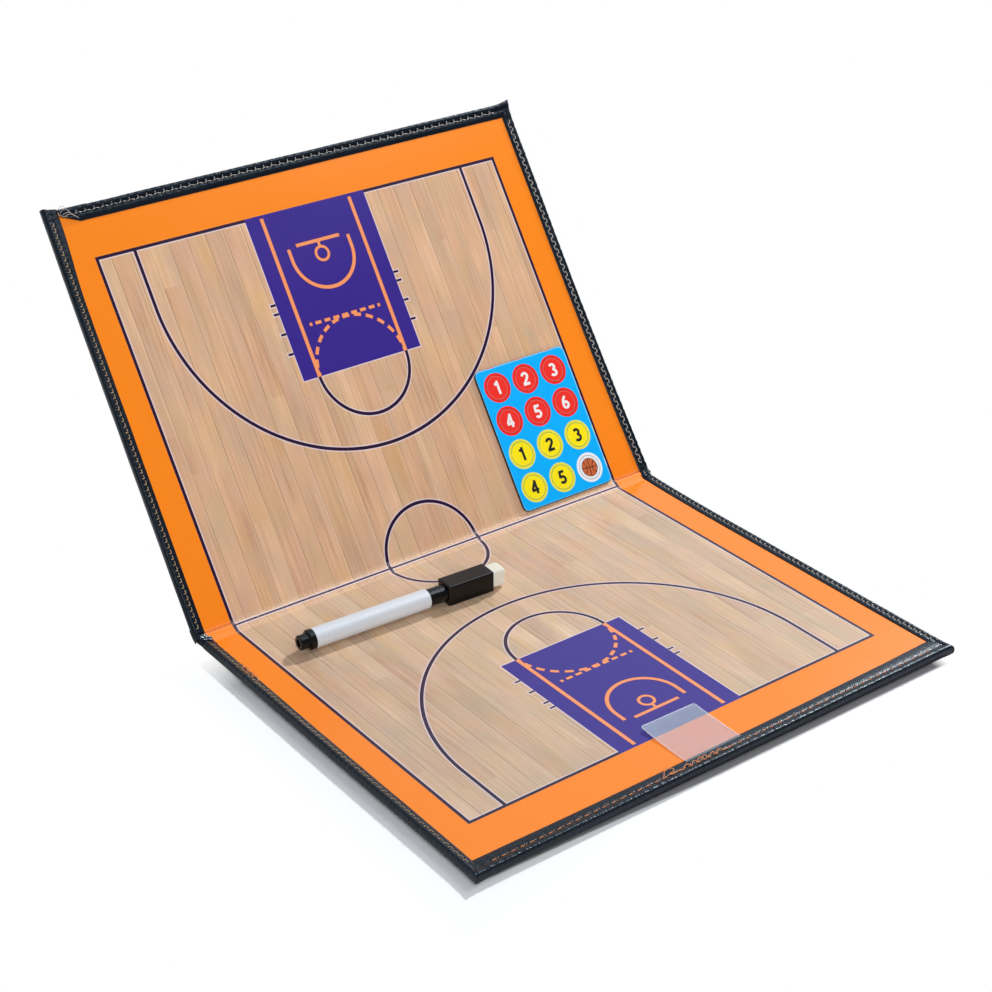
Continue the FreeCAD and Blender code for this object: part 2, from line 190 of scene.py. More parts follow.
def lowest(first, *others):
    for other in others:
        first = first.math("MINIMUM", other)
    return first


def highest(first, *others):
    for other in others:
        first = first.math("MAXIMUM", other)
    return first


def reach(a, b):
    """Length of the vector (a, b)."""
    return (a * a + b * b).math("SQRT")


def inside(distance, soft=0.2):
    """1 where a distance is negative, with an edge that is soft millimetres wide."""
    return distance.math("MULTIPLY_ADD", -1 / soft, 0.5, clamp=True)


def over(mask, under, top):
    """One colour laid over another where the mask is 1."""
    return mask.node("Mix", {0: mask, 6: under, 7: top}, output=2, data_type="RGBA")


def layered(colour, *layers):
    """Colours laid over one another, each given as (mask, colour)."""
    for mask, top in layers:
        colour = over(mask, colour, top)
    return colour


print("arithmetic on sockets ready")

# %% [markdown]
# A material is a recipe: a function that turns Object coordinates, which are the frame's metres
# here, into values of the Principled shader. A few helpers serve all recipes: colours as a screen
# shows them, a panel's own millimetres, bumps and noise.


# %% Recipes for materials
def paint(red, green, blue):
    """A screen colour of 0 to 255 as the linear colour that shaders use."""
    linear = []
    for part in (red, green, blue):
        share = part / 255
        linear.append(share / 12.92 if share <= 0.04045 else ((share + 0.055) / 1.055) ** 2.4)
    return (*linear, 1.0)


def mix(name, surface, *choices):
    """A new material. surface turns Object coordinates into values of the Principled shader."""
    finish = bpy.data.materials.new(name)
    finish.use_nodes = True
    tree = finish.node_tree
    coords = Signal(tree, tree.nodes.new("ShaderNodeTexCoord").outputs["Object"])
    fill(tree.nodes["Principled BSDF"], surface(coords, *choices))
    return finish


def in_mm(coords):
    return coords.node("Mapping", {"Vector": coords, "Scale": (1 / MM, 1 / MM, 1 / MM)})


def on_panel(coords, panel):
    """Object coordinates turned into a panel's own millimetres."""
    origin, tilt, side = PANELS[panel]
    shift = Matrix.Rotation(-tilt, 3, "X") @ origin / -MM
    shift.y *= side
    return coords.node("Mapping", {
        "Vector": coords,
        "Location": shift,
        "Rotation": (-tilt, 0, 0),
        "Scale": (1 / MM, side / MM, 1 / MM),
    })


def bump(height, depth_mm, strength=1.0):
    """A normal from a height of 0 to 1, which stands for depth_mm."""
    return height.node("Bump", {"Height": height, "Distance": depth_mm * MM, "Strength": strength})


def speckle(vector, scale, detail=2.0, roughness=0.5):
    return vector.node("TexNoise", {
        "Vector": vector, "Scale": scale, "Detail": detail, "Roughness": roughness,
    })


def flecks(x, y, z, detail=2.0, roughness=0.5):
    """Noise on three numbers that are already scaled, each in its own way."""
    return speckle(x.joined(y, z), 1.0, detail, roughness)


def dress(finish, *names):
    """Gives the named solids of the frame this finish."""
    for name in names:
        for holder in nodes[name].material_slots:
            holder.material = finish


print("colour check:", [round(part, 3) for part in paint(255, 140, 30)])

# %% [markdown]
# A key lamp stands low on the right, a little behind the board, and throws the pen's shadow to the
# left. A broad one in front lights the cover. A small one overhead and a weak pale world fill in.
# Together they come to about the level at which a colour renders as it is written. Mirrored rays
# see a brighter world behind the board than in front, so the lying base mirrors it and the leaning
# cover doesn't, and a soft window overhead that draws a bright line along the rolled leather.

# %% Light
scene = bpy.context.scene
scene.view_settings.view_transform = "Standard"
WORLD_LIGHT, BEHIND_LIGHT, WINDOW_LIGHT = 0.2, 0.85, 5.0
COOL_WHITE = (0.84, 0.98, 1.14, 1)
PURE_WHITE = (1, 1, 1, 1)

world = bpy.data.worlds.new("studio")
world.use_nodes = True
scene.world = world
sky = world.node_tree
rays = sky.nodes.new("ShaderNodeLightPath").outputs
camera_ray, mirrored, through = [
    Signal(sky, rays[f"Is {kind} Ray"]) for kind in ("Camera", "Glossy", "Transmission")
]
toward = Signal(sky, sky.nodes.new("ShaderNodeTexCoord").outputs["Object"])
side, back, up = toward.split()
behind = back.node("MapRange", {0: back, 1: -0.4, 2: 0.3, 3: WORLD_LIGHT, 4: BEHIND_LIGHT})
window = inside(abs(side - 0.53) - 0.1, 0.1) * inside(abs(back + 0.13) - 0.3, 0.1)
window = window * inside(0.3 - up, 0.1)
seen = highest(camera_ray, mirrored, through)
fill(sky.nodes["Background"], {
    "Strength": highest(camera_ray, seen * (behind + window * WINDOW_LIGHT), WORLD_LIGHT),
    "Color": over(camera_ray, COOL_WHITE, PURE_WHITE),
})

BOARD_MIDDLE = Vector((0.0, 0.06, 0.04))


def add_lamp(name, place, size, power):
    """A round lamp, its size in metres and its power in watts, turned towards the board."""
    lamp = bpy.data.lights.new(name, "AREA")
    lamp.shape = "DISK"
    lamp.size = size
    lamp.energy = power
    holder = bpy.data.objects.new(name, lamp)
    turned = (BOARD_MIDDLE - Vector(place)).to_track_quat("-Z", "Y").to_matrix().to_4x4()
    holder.matrix_world = Matrix.Translation(place) @ turned
    scene.collection.objects.link(holder)


add_lamp("key", (1.25, 0.51, 1.1), 0.15, 24.4)
add_lamp("fill", (-0.55, -1.45, 0.86), 1.2, 16.6)
add_lamp("crest", (0.85, -0.4, 1.35), 0.5, 4.0)
print("three lamps and one world")

# %% [markdown]
# The floor is a plain diffuse white, with a painted shadow just under the front edge. Beyond the
# board's own shadow it fades to a shadowless white for camera rays, as a product picture is cut
# out.


# %% Floor
def floor_surface(coords):
    """White, with a painted shadow under the front edge and a shadowless white far from the board.
    """
    x, y, _ = in_mm(coords).split()
    half_depth = DEPTHS["base"] / 2
    # How far the painted shadow reaches out from the front edge, widening towards the right
    painted_shadow_reach = x.node("MapRange", {0: x, 1: -118.0, 2: -20.0, 3: -1.0, 4: 2.5})
    painted_shadow_under_edge = inside(-1 * y - half_depth - painted_shadow_reach, 1.0) * inside(y + 100, 1.0)
    painted_shadow_under_edge = painted_shadow_under_edge * inside(-1 * x - 126, 4.0)
    from_board = highest(abs(x) - HALF_WIDTH, abs(y) - half_depth)
    cut_out = from_board.node(
        "MapRange", {0: from_board, 1: 9.0, 2: 26.0}, interpolation_type="SMOOTHSTEP"
    )
    for value, start, end in ((x, 122.0, 129.0), (y, 72.0, 100.0)):
        cut_out = highest(cut_out, value.node("MapRange", {0: value, 1: start, 2: end}))
    tree = coords.tree
    path = tree.nodes.new("ShaderNodeLightPath")
    lift = Signal(tree, path.outputs["Is Camera Ray"]) * cut_out
    glow = lift.node("Emission", {"Color": PURE_WHITE, "Strength": 1.0})
    lit = Signal(tree, tree.nodes["Principled BSDF"].outputs[0])
    fill(tree.nodes["Material Output"], {
        "Surface": lift.node("MixShader", {0: lift, 1: lit, 2: glow}),
    })
    return {
        # Painted shadow: the floor is grey in a thin band under the front edge
        "Base Color": over(painted_shadow_under_edge, PURE_WHITE, paint(150, 148, 150)),
        "Roughness": 0.9, "Specular IOR Level": 0.1,
    }


FLOOR_HALF, FLOOR_DROP = 4.0, 0.0003
plane = bmesh.new()
bmesh.ops.create_grid(plane, x_segments=1, y_segments=1, size=FLOOR_HALF)
bmesh.ops.translate(plane, verts=plane.verts, vec=(0, 0, -FLOOR_DROP))
floor_mesh = bpy.data.meshes.new("floor")
plane.to_mesh(floor_mesh)
plane.free()
floor_mesh.materials.append(mix("studio_floor", floor_surface))
floor = bpy.data.objects.new("floor", floor_mesh)
scene.collection.objects.link(floor)
print("floor", 2 * FLOOR_HALF, "m wide")

# %% [markdown]
# The print is one picture of a whole court, cut by the two creases. Every line is a distance: how
# far a point lies from a circle, a bar or a rectangle. Distances combine with minimum and maximum,
# and one soft step turns them into ink. Both halves mirror each other about the half-way line, so
# the court needs only two numbers: across, and along from the half-way line.

# %% Court lines as distances
COURT_HALF = 114.5
BASELINE = 182.5
BORDER_LINE = 0.8
LINE = 0.85
ORANGE_LINE = 0.95
ARC_RADIUS = 94.2
ARC_CENTRE = 29.6
KEY_HALF = 34.4
KEY_DEPTH = 82.8
LANE_HALF = 25.4
CIRCLE_RADIUS = 26.2
TICKS = (43.4, 48.0, 58.3, 68.5)
TICK_HALF = (1.5, 0.6)

# Under the basket, up from the base line: where each thing lies, then its radius or half its size
DOTTED_UP, DOTTED_HALF, DOT_PITCH = 57.1, (20.6, 0.8), 5.2
REST_UP, REST_FROM, REST_RADIUS = 23.0, 17.0, 17.2
RIM_UP, RIM_RADIUS = 22.9, 3.5
NECK_UP, NECK_HALF = 17.9, (0.7, 1.6)
BOARD_UP, BOARD_HALF = 16.1, (12.5, 0.85)
COVER_LOWER = 1.9


def bar(across, along, half_across, half_along):
    """Distance to a rectangle about the origin of the two numbers."""
    return highest(abs(across) - half_across, abs(along) - half_along)


def court_field(x, along):
    """Distance to the edge of the court, negative on the playing field."""
    return highest(abs(x) - COURT_HALF - BORDER_LINE, abs(along) - BASELINE - BORDER_LINE)


def figure_middle(x, along):
    """Across, counted from the middle of the key and the circles, which are printed askew."""
    return x + 1.4 - along * 0.003


def court_ink(x, along):
    """Distance to everything that is printed in dark ink."""
    across = figure_middle(x, along)
    side = abs(across)
    up = BASELINE - abs(along)
    field = court_field(x, along)
    border = highest(field, -1 * (field + 2 * BORDER_LINE))
    middle = highest(abs(along + x * 0.0095) - 0.5, abs(x) - COURT_HALF)
    centre = abs(reach(across, along) - CIRCLE_RADIUS) - LINE
    arc = abs(reach(across, highest(up - ARC_CENTRE, 0.0)) - ARC_RADIUS) - LINE
    arc = highest(arc, field)
    key = highest(side - KEY_HALF, up - KEY_DEPTH, field)
    throw = highest(abs(reach(across, up - KEY_DEPTH) - LANE_HALF) - LINE, KEY_DEPTH - up)
    ticks = lowest(*[
        bar(side - KEY_HALF - TICK_HALF[0], up - place, *TICK_HALF) for place in TICKS
    ])
    return lowest(border, middle, centre, arc, key, throw, ticks)


def key_ink(x, along):
    """Distance to the orange lines on the dark key."""
    across = figure_middle(x, along)
    side = abs(across)
    up = BASELINE - abs(along)
    on_key = highest(up - KEY_DEPTH, 0.9 - up)
    lane = highest(abs(side - LANE_HALF) - ORANGE_LINE, on_key)
    turn = across.math("ARCTAN2", KEY_DEPTH - up)
    gaps = (abs(turn) * 24.0).math("COSINE") * 1.2 + 0.4
    ring = abs(reach(across, up - KEY_DEPTH) - LANE_HALF + 0.4) - 0.85
    dashes = highest(ring, -1 * gaps, on_key)
    straight = (side * (math.tau / DOT_PITCH)).math("COSINE") * 1.2 + 0.5
    dotted = highest(bar(across, up - DOTTED_UP, *DOTTED_HALF), -1 * straight)
    under = up - along.math("GREATER_THAN", 0.0) * COVER_LOWER
    rest = abs(reach(across, highest(under - REST_UP, 0.0)) - REST_RADIUS) - 0.9
    rest = highest(rest, REST_FROM - under)
    rim = abs(reach(across, under - RIM_UP) - RIM_RADIUS) - 0.7
    neck = bar(across, under - NECK_UP, *NECK_HALF)
    board = bar(across, under - BOARD_UP, *BOARD_HALF)
    return lowest(lane, dashes, dotted, rest, rim, neck, board)


print("court", 2 * COURT_HALF, "by", 2 * BASELINE, "mm, key", 2 * KEY_HALF, "by", KEY_DEPTH)

# %% [markdown]
# Under the lines lies a picture of a parquet floor, with narrow strips of wood along the court.
# Their tone drifts along each strip, jumps where a new board begins, and differs from strip to
# strip: a white noise on the strip's and the board's number gives the jumps, and noise that is
# stretched along the strip gives the drift, the grain and a few dark flecks.

# %% Parquet
STRIP = 9.9
FIRST_SEAM = -107.5
BOARD_LENGTH = 118.0
WOOD_TONES = (
    (0.0, paint(152, 107, 76)),
    (0.28, paint(197, 151, 117)),
    (0.48, paint(218, 173, 138)),
    (0.66, paint(228, 186, 148)),
    (1.0, paint(245, 213, 179)),
)
WOOD_PATCHES = (
    (4.0, paint(218, 176, 118)),
    (11.0, paint(186, 167, 140)),
    (17.0, paint(211, 168, 143)),
)


def parquet(x, along):
    place = (x - FIRST_SEAM) / STRIP
    strip = place.math("FLOOR")
    number = strip.joined(3.0, 0.0)
    run = along / BOARD_LENGTH + number.node("TexWhiteNoise", {0: number}) * 1.7
    board = run.math("FLOOR")
    number = strip.joined(board, 0.0)
    tone = number.node("TexWhiteNoise", {0: number})
    drift = flecks(x * 0.05 + strip * 3.7, along * 0.016, strip * 0.9)
    grain = flecks(x * 0.7, along * 0.014, board * 7.3 + strip, 3.0, 0.6)
    fibres = flecks(x * 5.2, along * 0.06, strip * 1.7, 2.0, 0.65)
    shade = (tone - 0.5) * 0.2 + (drift - 0.5) * 0.75 + (grain - 0.5) * 0.75
    shade = shade + (fibres - 0.5) * 0.6 + 0.5
    wood = shade.node("ValToRGB", {0: shade}, stops=WOOD_TONES)
    for start, colour in WOOD_PATCHES:
        patch = flecks(x * 0.07 + strip * 0.4, along * 0.03, start)
        wood = over(inside(0.56 - patch, 0.3) * 0.5, wood, colour)
    streak = flecks(x * 2.4, along * 0.035, strip * 3.1)
    across = (place - strip - 0.5) * STRIP
    faint = flecks(strip, along * 0.02, 6.0, 1.0)
    seam = inside(STRIP / 2 - 0.14 - abs(across), 0.16) * inside(0.44 - faint, 0.4)
    return layered(
        wood,
        (inside(0.73 - streak, 0.08) * inside(0.5 - fibres, 0.2) * 0.6, paint(136, 92, 60)),
        (inside(abs(across - STRIP / 2 + 0.55) - 0.2, 0.3) * 0.35, paint(236, 210, 172)),
        (seam * 0.75, paint(98, 66, 44)),
    )


print("parquet strips of", STRIP, "mm")

# %% [markdown]
# The sheet is laminated, so it is smooth and a little glossy. That gloss makes the lying base look
# paler than the cover: it is seen at a low angle and mirrors the bright room. On top of that the
# wood gets a painted light tint on each panel, bluer on the base and a little warmer on the cover.
# Where the laminate was folded it is dull and scuffed, most on the orange at both ends of the
# spine. A darker orange line along the upper crease is painted shade.

# %% Court print finish
COURT_LEFT = 1.5
ORANGE = paint(255, 135, 12)
MOTTLED_ORANGE = paint(250, 146, 46)
CREASE_SHADE_ORANGE = paint(214, 92, 14)
KEY_ORANGE = paint(248, 152, 100)
KEY_LINE_EDGE = paint(84, 22, 60)
INK = paint(54, 34, 136)
LINE_INK = paint(40, 13, 46)
PALE_EDGE = paint(238, 222, 236)
SCUFFED = paint(246, 222, 200)
NO_LIGHT_TINT = (1.0, 1.0, 1.0)


def court_surface(x, along, painted_light_tint):
    """The print at a place across and along the court, with a painted light tint on its wood."""
    ink = court_ink(x, along)
    lines = key_ink(x, along)
    field = court_field(x, along)
    up = BASELINE - abs(along)
    key = inside(highest(abs(figure_middle(x, along)) - KEY_HALF, up - KEY_DEPTH, field))
    from_upper = abs(along - SPINE_WIDTH / 2)
    wood = parquet(x, along)
    rub = flecks(x * 0.9, along * 1.6, 9.0, 4.0, 0.65)
    worn = inside(abs(abs(along) - SPINE_WIDTH / 2) - 1.3, 2.0) * inside(0.56 - rub, 0.1)
    scuff = worn * (1 - inside(-1 * field) * 0.6)
    creased = inside(abs(along) - SPINE_WIDTH / 2 - 1.2, 1.0)
    gloss = flecks(x * 0.02, along * 0.02, 2.0, 3.0)
    peel = flecks(x * 0.5, along * 0.5, 0.0, 1.0)
    return {
        "Base Color": layered(
            ORANGE,
            (flecks(x * 0.3, along * 0.3, 1.0, 3.0) * 0.25, MOTTLED_ORANGE),
            # Painted shade: a darker orange line along the upper crease
            (inside(from_upper - 0.45, 0.5) * 0.8, CREASE_SHADE_ORANGE),
            (inside(field), wood.node("VectorMath", {0: wood, 1: painted_light_tint}, operation="MULTIPLY")),
            (inside(ink - 0.5, 0.45) * inside(field + BORDER_LINE) * 0.7, PALE_EDGE),
            (inside(ink), over(key, LINE_INK, INK)),
            (inside(lines - 0.3, 0.3) * 0.6, KEY_LINE_EDGE),
            (inside(lines), KEY_ORANGE),
            (scuff * 0.55, SCUFFED),
        ),
        "Roughness": gloss * 0.1 + highest(scuff * 0.3, creased * 0.5) + 0.15,
        "Specular IOR Level": 0.45,
        "Normal": bump(peel, 0.01, 0.35),
    }


def panel_court(coords, panel, sign, start, painted_light_tint):
    """The court on a panel, whose own millimetres give the court's two numbers."""
    x, out, _ = on_panel(coords, panel).split()
    return court_surface(x + COURT_LEFT, (out + start) * sign, painted_light_tint)


# Each panel's last number is a painted light tint on its wood: bluer on the base, a little warmer
# on the cover, none on the spine
for panel, sheet, sign, start, painted_light_tint in (
    ("base", "base_court_sheet", -1, SPINE_WIDTH / 2, (0.93, 1.03, 1.13)),
    ("cover", "cover_court_sheet", 1, SPINE_WIDTH / 2, (1.02, 1.0, 1.0)),
    ("spine", "spine_court_strip", 1, -SPINE_WIDTH / 2, NO_LIGHT_TINT),
):
    dress(mix(f"court_print_{panel}", panel_court, panel, sign, start, painted_light_tint), sheet)
print("court printed on base, spine and cover")

# %% [markdown]
# New pieces are drawn in a panel's or an edge's own millimetres, shaped there, and put in place by
# one matrix. The object itself then stays at the origin, as the frame's solids do, so a pattern on
# Object coordinates runs on from one piece to the next.


# %% Helpers for new pieces
def add_piece(name, shape, finish, place=None, sharp=40.0):
    """A finished shape as a piece of the board. place is a matrix to the frame's metres."""
    if place:
        bmesh.ops.transform(shape, matrix=place, verts=shape.verts)
    bmesh.ops.recalc_face_normals(shape, faces=shape.faces)
    mesh = bpy.data.meshes.new(name)
    shape.to_mesh(mesh)
    shape.free()
    mesh.materials.append(finish)
    mesh.shade_smooth()
    mesh.set_sharp_from_angle(angle=math.radians(sharp))
    piece = bpy.data.objects.new(name, mesh)
    scene.collection.objects.link(piece)
    return piece


def draw_out(places, closed=True, **path):
    """A line through places, drawn out along a straight path or turned about the X axis."""
    shape = bmesh.new()
    corners = [shape.verts.new(place) for place in places]
    pairs = list(zip(corners, corners[1:] + corners[:1]))
    lines = [shape.edges.new(pair) for pair in (pairs if closed else pairs[:-1])]
    bmesh.ops.spin(
        shape, geom=corners + lines, cent=(0, 0, 0), axis=(1, 0, 0), use_duplicate=False, **path
    )
    return shape


def sweep(section, start, length, steps, closed=True):
    """A section of (in from the edge, up) drawn along the edge: corners at (along, in, up)."""
    places = [(start, inward, up) for inward, up in section]
    return draw_out(places, closed, dvec=(length / steps, 0, 0), angle=0, steps=steps)


def close(shape):
    """Fills the open ends."""
    rims = [line for line in shape.edges if line.is_boundary]
    bmesh.ops.holes_fill(shape, edges=rims, sides=0)


def trim(shape, point, normal):
    """Cuts away what lies beyond a plane, and closes the cut."""
    everything = shape.verts[:] + shape.edges[:] + shape.faces[:]
    bmesh.ops.bisect_plane(
        shape, geom=everything, dist=1e-5, plane_co=point, plane_no=normal, clear_outer=True
    )
    close(shape)


def smooth_step(value):
    value = min(max(value, 0.0), 1.0)
    return value * value * (3 - 2 * value)


print("helpers ready")

# %% [markdown]
# The leather is a navy so dark that it looks black, with a pebbled grain of about a millimetre. A
# smooth Voronoi cell is a good pebble: its distance makes the bump, and the tops of the pebbles are
# rubbed a little paler and shinier than the valleys between them.


# %% Leather finish
def leather_surface(coords):
    place = in_mm(coords)
    drift = place.node("TexNoise", {"Vector": place, "Scale": 0.4}, output=1)
    bent = place.node("VectorMath", {0: place, 1: drift}, operation="ADD")
    pebble = bent.node(
        "TexVoronoi", {"Vector": bent, "Scale": 1.1, "Smoothness": 0.35}, feature="SMOOTH_F1"
    )
    fine = speckle(place, 3.2, 3.0, 0.6)
    soft = speckle(place, 0.035)
    height = (1 - pebble) * 0.75 + fine * 0.35
    rubbed = inside(0.62 - height - soft * 0.18, 0.5)
    return {
        "Base Color": over(rubbed, paint(3, 5, 10), paint(9, 15, 27)),
        "Roughness": 0.3 - rubbed * 0.08 + fine * 0.1 + (soft - 0.5) * 0.2,
        "Specular IOR Level": 0.28,
        "Specular Tint": (0.72, 0.88, 1.0, 1.0),
        "Normal": bump(height, 0.12, 0.8),
    }


leather = mix("navy_leather", leather_surface)
print("leather mixed")

# %% [markdown]
# Each edge is one strip of leather that comes up from the back, rolls round the edge of the board
# and lies on the margin of the print, where it is sewn down. An edge has millimetres of its own:
# along it, in from it and up. In those a strip's section is drawn once, to be swept along.

# %% Sections of the edges
TURN_UNDER = 9.0
CLEAR = 0.05

# Each strip: width of its band on the print, place of its seam, pitch of its stitches
STRIPS = {
    ("base", "left"): (4.6, 2.6, 3.3),
    ("base", "right"): (4.9, 2.7, 3.3),
    ("base", "end"): (8.3, 3.4, 4.6),
    ("spine", "left"): (4.8, 2.6, 3.0),
    ("spine", "right"): (5.0, 2.8, 3.0),
    ("cover", "left"): (5.15, 2.7, 2.8),
    ("cover", "right"): (5.3, 3.0, 4.3),
    ("cover", "end"): (7.0, 3.4, 4.6),
}

# How far the leather stands out from a side: everywhere, more at the crease, where that ends, how
BULGES = {
    ("base", "left"): (0.55, -0.45, 90.0, 1.0),
    ("base", "right"): (-0.1, 1.3, 55.0, 2.0),
    ("cover", "left"): (-0.3, 2.5, 206.5, 0.75),
    ("cover", "right"): (-0.35, 2.6, 130.0, 2.0),
}
SIDES = {"left": -1, "right": 1}
END_NAMES = {"base": "front", "cover": "top"}

# Every section is drawn in from the edge and up: the roll below, and the wrap's inner face
FLAT_FROM = 2.6
LOWER_ROLL = [(-0.45, -2.0), (-0.2, -2.9), (0.4, -3.8), (1.4, -4.35), (FLAT_FROM, -STACK)]
INNER_IN, INNER_UP = 1.25, -3.62


def edge_place(panel, edge):
    """Matrix from an edge's own millimetres (along, in, up) to the frame."""
    if edge == "end":
        rows = ((1, 0, 0, 0), (0, -1, 0, DEPTHS[panel]))
    else:
        side = SIDES[edge]
        rows = ((0, -side, 0, side * HALF_WIDTH), (1, 0, 0, 0))
    return panel_place(panel) @ Matrix((*rows, (0, 0, 1, 0), (0, 0, 0, 1)))


def bulge(panel, edge, along):
    """How far the leather stands out from the side of the boards at a place along it."""
    if panel == "spine":
        share = along / SPINE_WIDTH
        return bulge("base", edge, 0) * (1 - share) + bulge("cover", edge, 0) * share
    everywhere, extra, fade, power = BULGES[panel, edge]
    return everywhere + extra * max(0.0, 1 - along / fade) ** power


def spread(panel, edge, along, inward, up):
    """Moves a place on a strip out with the bulge. The part under the board stays where it is."""
    if edge == "end":
        side = "left" if along < 0 else "right"
        return along * (1 + bulge(panel, side, DEPTHS[panel]) / HALF_WIDTH), inward, up
    tucked = smooth_step((inward - FLAT_FROM) / (TURN_UNDER - FLAT_FROM)) if up < -3.4 else 0.0
    return along, inward - bulge(panel, edge, along) * (1 - tucked), up


def spread_out(shape, panel, edge):
    for vert in shape.verts:
        vert.co = spread(panel, edge, *vert.co)


def upper_section(band, seam):
    """Outer face of a wrap, from the edge of the band on the print to the side of the board."""
    return [
        (band, 0.02), (band - 0.03, 0.22), (band - 0.2, 0.33), (band - 0.5, 0.4),
        ((band + seam) / 2, 0.66), (seam + 0.5, 0.82), (seam, 0.72), (seam - 0.5, 0.86),
        (seam - 0.9, 1.0), (1.1, 1.22), (0.55, 1.2), (0.05, 0.98), (-0.28, 0.5), (-0.45, -0.2),
        (-0.5, -1.0),
    ]


def wrap_section(band, seam):
    """The whole wrap: over the print, round the edge, under the board, and back inside."""
    return upper_section(band, seam) + LOWER_ROLL + [
        (TURN_UNDER, -STACK), (TURN_UNDER, INNER_UP), (INNER_IN, INNER_UP), (INNER_IN, 0.02),
    ]


print(len(STRIPS), "strips, with", len(wrap_section(*STRIPS["base", "end"][:2])), "corners each")

# %% [markdown]
# A swept strip is cut: on a mitre where two strips meet in a corner, and at 45 degrees where it
# meets the spine's strip, so the board can fold. A CAD strip is perfectly even. The sewn one
# puckers at each stitch, bulges towards the spine, and is pulled out into dog-ears at its corners,
# so the vertices are moved by rules after the cut. At the cover's top left corner the strips don't
# meet, and a thinner lip of leather shows between them.

# %% Edge wraps
# Where the cover's left strip ends, and the square and the slanted cut of its top strip
LEFT_CUT = (1.6, (1, 0.25, 0))
SQUARE_CUT = 7.2
SLANT_CUT = ((6.3 - HALF_WIDTH, 2.5, 0), (-0.41, 0.912, 0))
LIP = [
    (1.4, 0.03), (1.4, 0.2), (0.6, 0.2), (0.1, 0.0), (-0.2, -0.5), (-0.33, -1.2), (-0.33, -2.0),
    (-0.08, -2.9), (0.52, -3.75), (1.5, -4.25), (FLAT_FROM, 0.06 - STACK),
    (TURN_UNDER, 0.06 - STACK), (TURN_UNDER, INNER_UP), (INNER_IN, INNER_UP), (INNER_IN, 0.03),
]


def widening(panel, edge, along):
    """How much wider than its band a strip was cut, at a place along it."""
    if (panel, edge) == ("cover", "left"):
        return 1.7 * smooth_step((along - 160) / 40)
    if (panel, edge) == ("base", "end"):
        return -0.3 + 0.51 * (along / 100) + 0.88 * (along / 100) ** 2
    return 0.0


def soften(shape, panel, edge, corners):
    """Puckers, waves, bulge and dog-ears. corners: (sign along, its place, mitre's slope, pull)."""
    band, seam, pitch = STRIPS[panel, edge]
    for vert in shape.verts:
        along, inward, up = vert.co
        hidden = up < -STACK + 0.95 and inward > 1.0 or abs(up - 0.02) < 0.01
        if not hidden:
            beat = 0.5 + 0.5 * math.cos(math.tau * along / pitch)
            sewn = math.exp(-(((inward - seam) / 0.7) ** 2))
            roll = math.exp(-(((inward - 0.6) / 1.2) ** 2)) * smooth_step((up + 2.5) / 2.5)
            ripple = noise.noise((along * 1.2, inward * 0.4, band))
            wave = noise.noise((along * 0.045, band, 3.0))
            up += (0.1 * (1 - beat) + 0.15 * ripple) * roll - 0.14 * beat * sewn
            inward -= (0.08 * (1 - beat) + 0.15 * ripple) * roll - 0.14 * wave
        if inward > seam and up > 0:
            inward += widening(panel, edge, along) * (inward - seam) / (band - seam)
        if (panel, edge) == ("cover", "end"):
            inward += 0.3 - 0.35 * along / HALF_WIDTH
        for sign, corner, slope, pull in corners:
            away = corner - inward * slope - sign * along
            tug = pull * max(0.0, 1 - away / 9) ** 2 * max(0.0, 1 - inward / band)
            along += sign * tug
            inward -= tug
            up += 0.4 * tug * smooth_step((up + 3.0) / 3.0)
        vert.co = spread(panel, edge, along, inward, up)


def leather_piece(name, shape, panel, place, *replaced):
    """A piece of leather that rides on a panel, in place of solids of the frame."""
    piece = add_piece(name, shape, leather, place)
    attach(piece, panel)
    if replaced:
        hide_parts(*replaced)


def place_wrap(shape, panel, edge):
    label = END_NAMES[panel] if edge == "end" else edge
    place = edge_place(panel, edge)
    leather_piece(f"{panel}_wrap_{label}", shape, panel, place, f"{panel}_binding_{label}")


def side_wrap(panel, edge, pull):
    """A side strip of the base or the cover, from its crease to its outer corner."""
    depth = DEPTHS[panel]
    band, seam, _ = STRIPS[panel, edge]
    end_band = STRIPS[panel, "end"][0]
    shape = sweep(wrap_section(band, seam), -1, depth + 4, 380)
    trim(shape, (CLEAR, 0, 0), (-1, 0, 0))
    trim(shape, (CLEAR, 0, 0), (-1, 0, 1))
    corners = []
    if pull is None:
        trim(shape, (depth + LEFT_CUT[0], 0, 0), LEFT_CUT[1])
    else:
        trim(shape, (depth, 0, 0), (band, end_band, 0))
        corners.append((1, depth, end_band / band, pull))
    soften(shape, panel, edge, corners)
    place_wrap(shape, panel, edge)


def end_wrap(panel, pull_left, pull_right):
    """The strip along the outer end of a panel. The cover's is cut on a slant at its left end."""
    band, seam, _ = STRIPS[panel, "end"]
    left_band, right_band = STRIPS[panel, "left"][0], STRIPS[panel, "right"][0]
    shape = sweep(wrap_section(band, seam), -HALF_WIDTH - 1, 2 * HALF_WIDTH + 2, 500)
    corners = [(1, HALF_WIDTH, right_band / band, pull_right)]
    trim(shape, (HALF_WIDTH, 0, 0), (band, right_band, 0))
    if pull_left is None:
        trim(shape, (SQUARE_CUT - HALF_WIDTH, 0, 0), (-1, 0, 0))
        trim(shape, *SLANT_CUT)
    else:
        trim(shape, (-HALF_WIDTH, 0, 0), (-band, left_band, 0))
        corners.append((-1, HALF_WIDTH, left_band / band, pull_left))
    soften(shape, panel, "end", corners)
    place_wrap(shape, panel, "end")


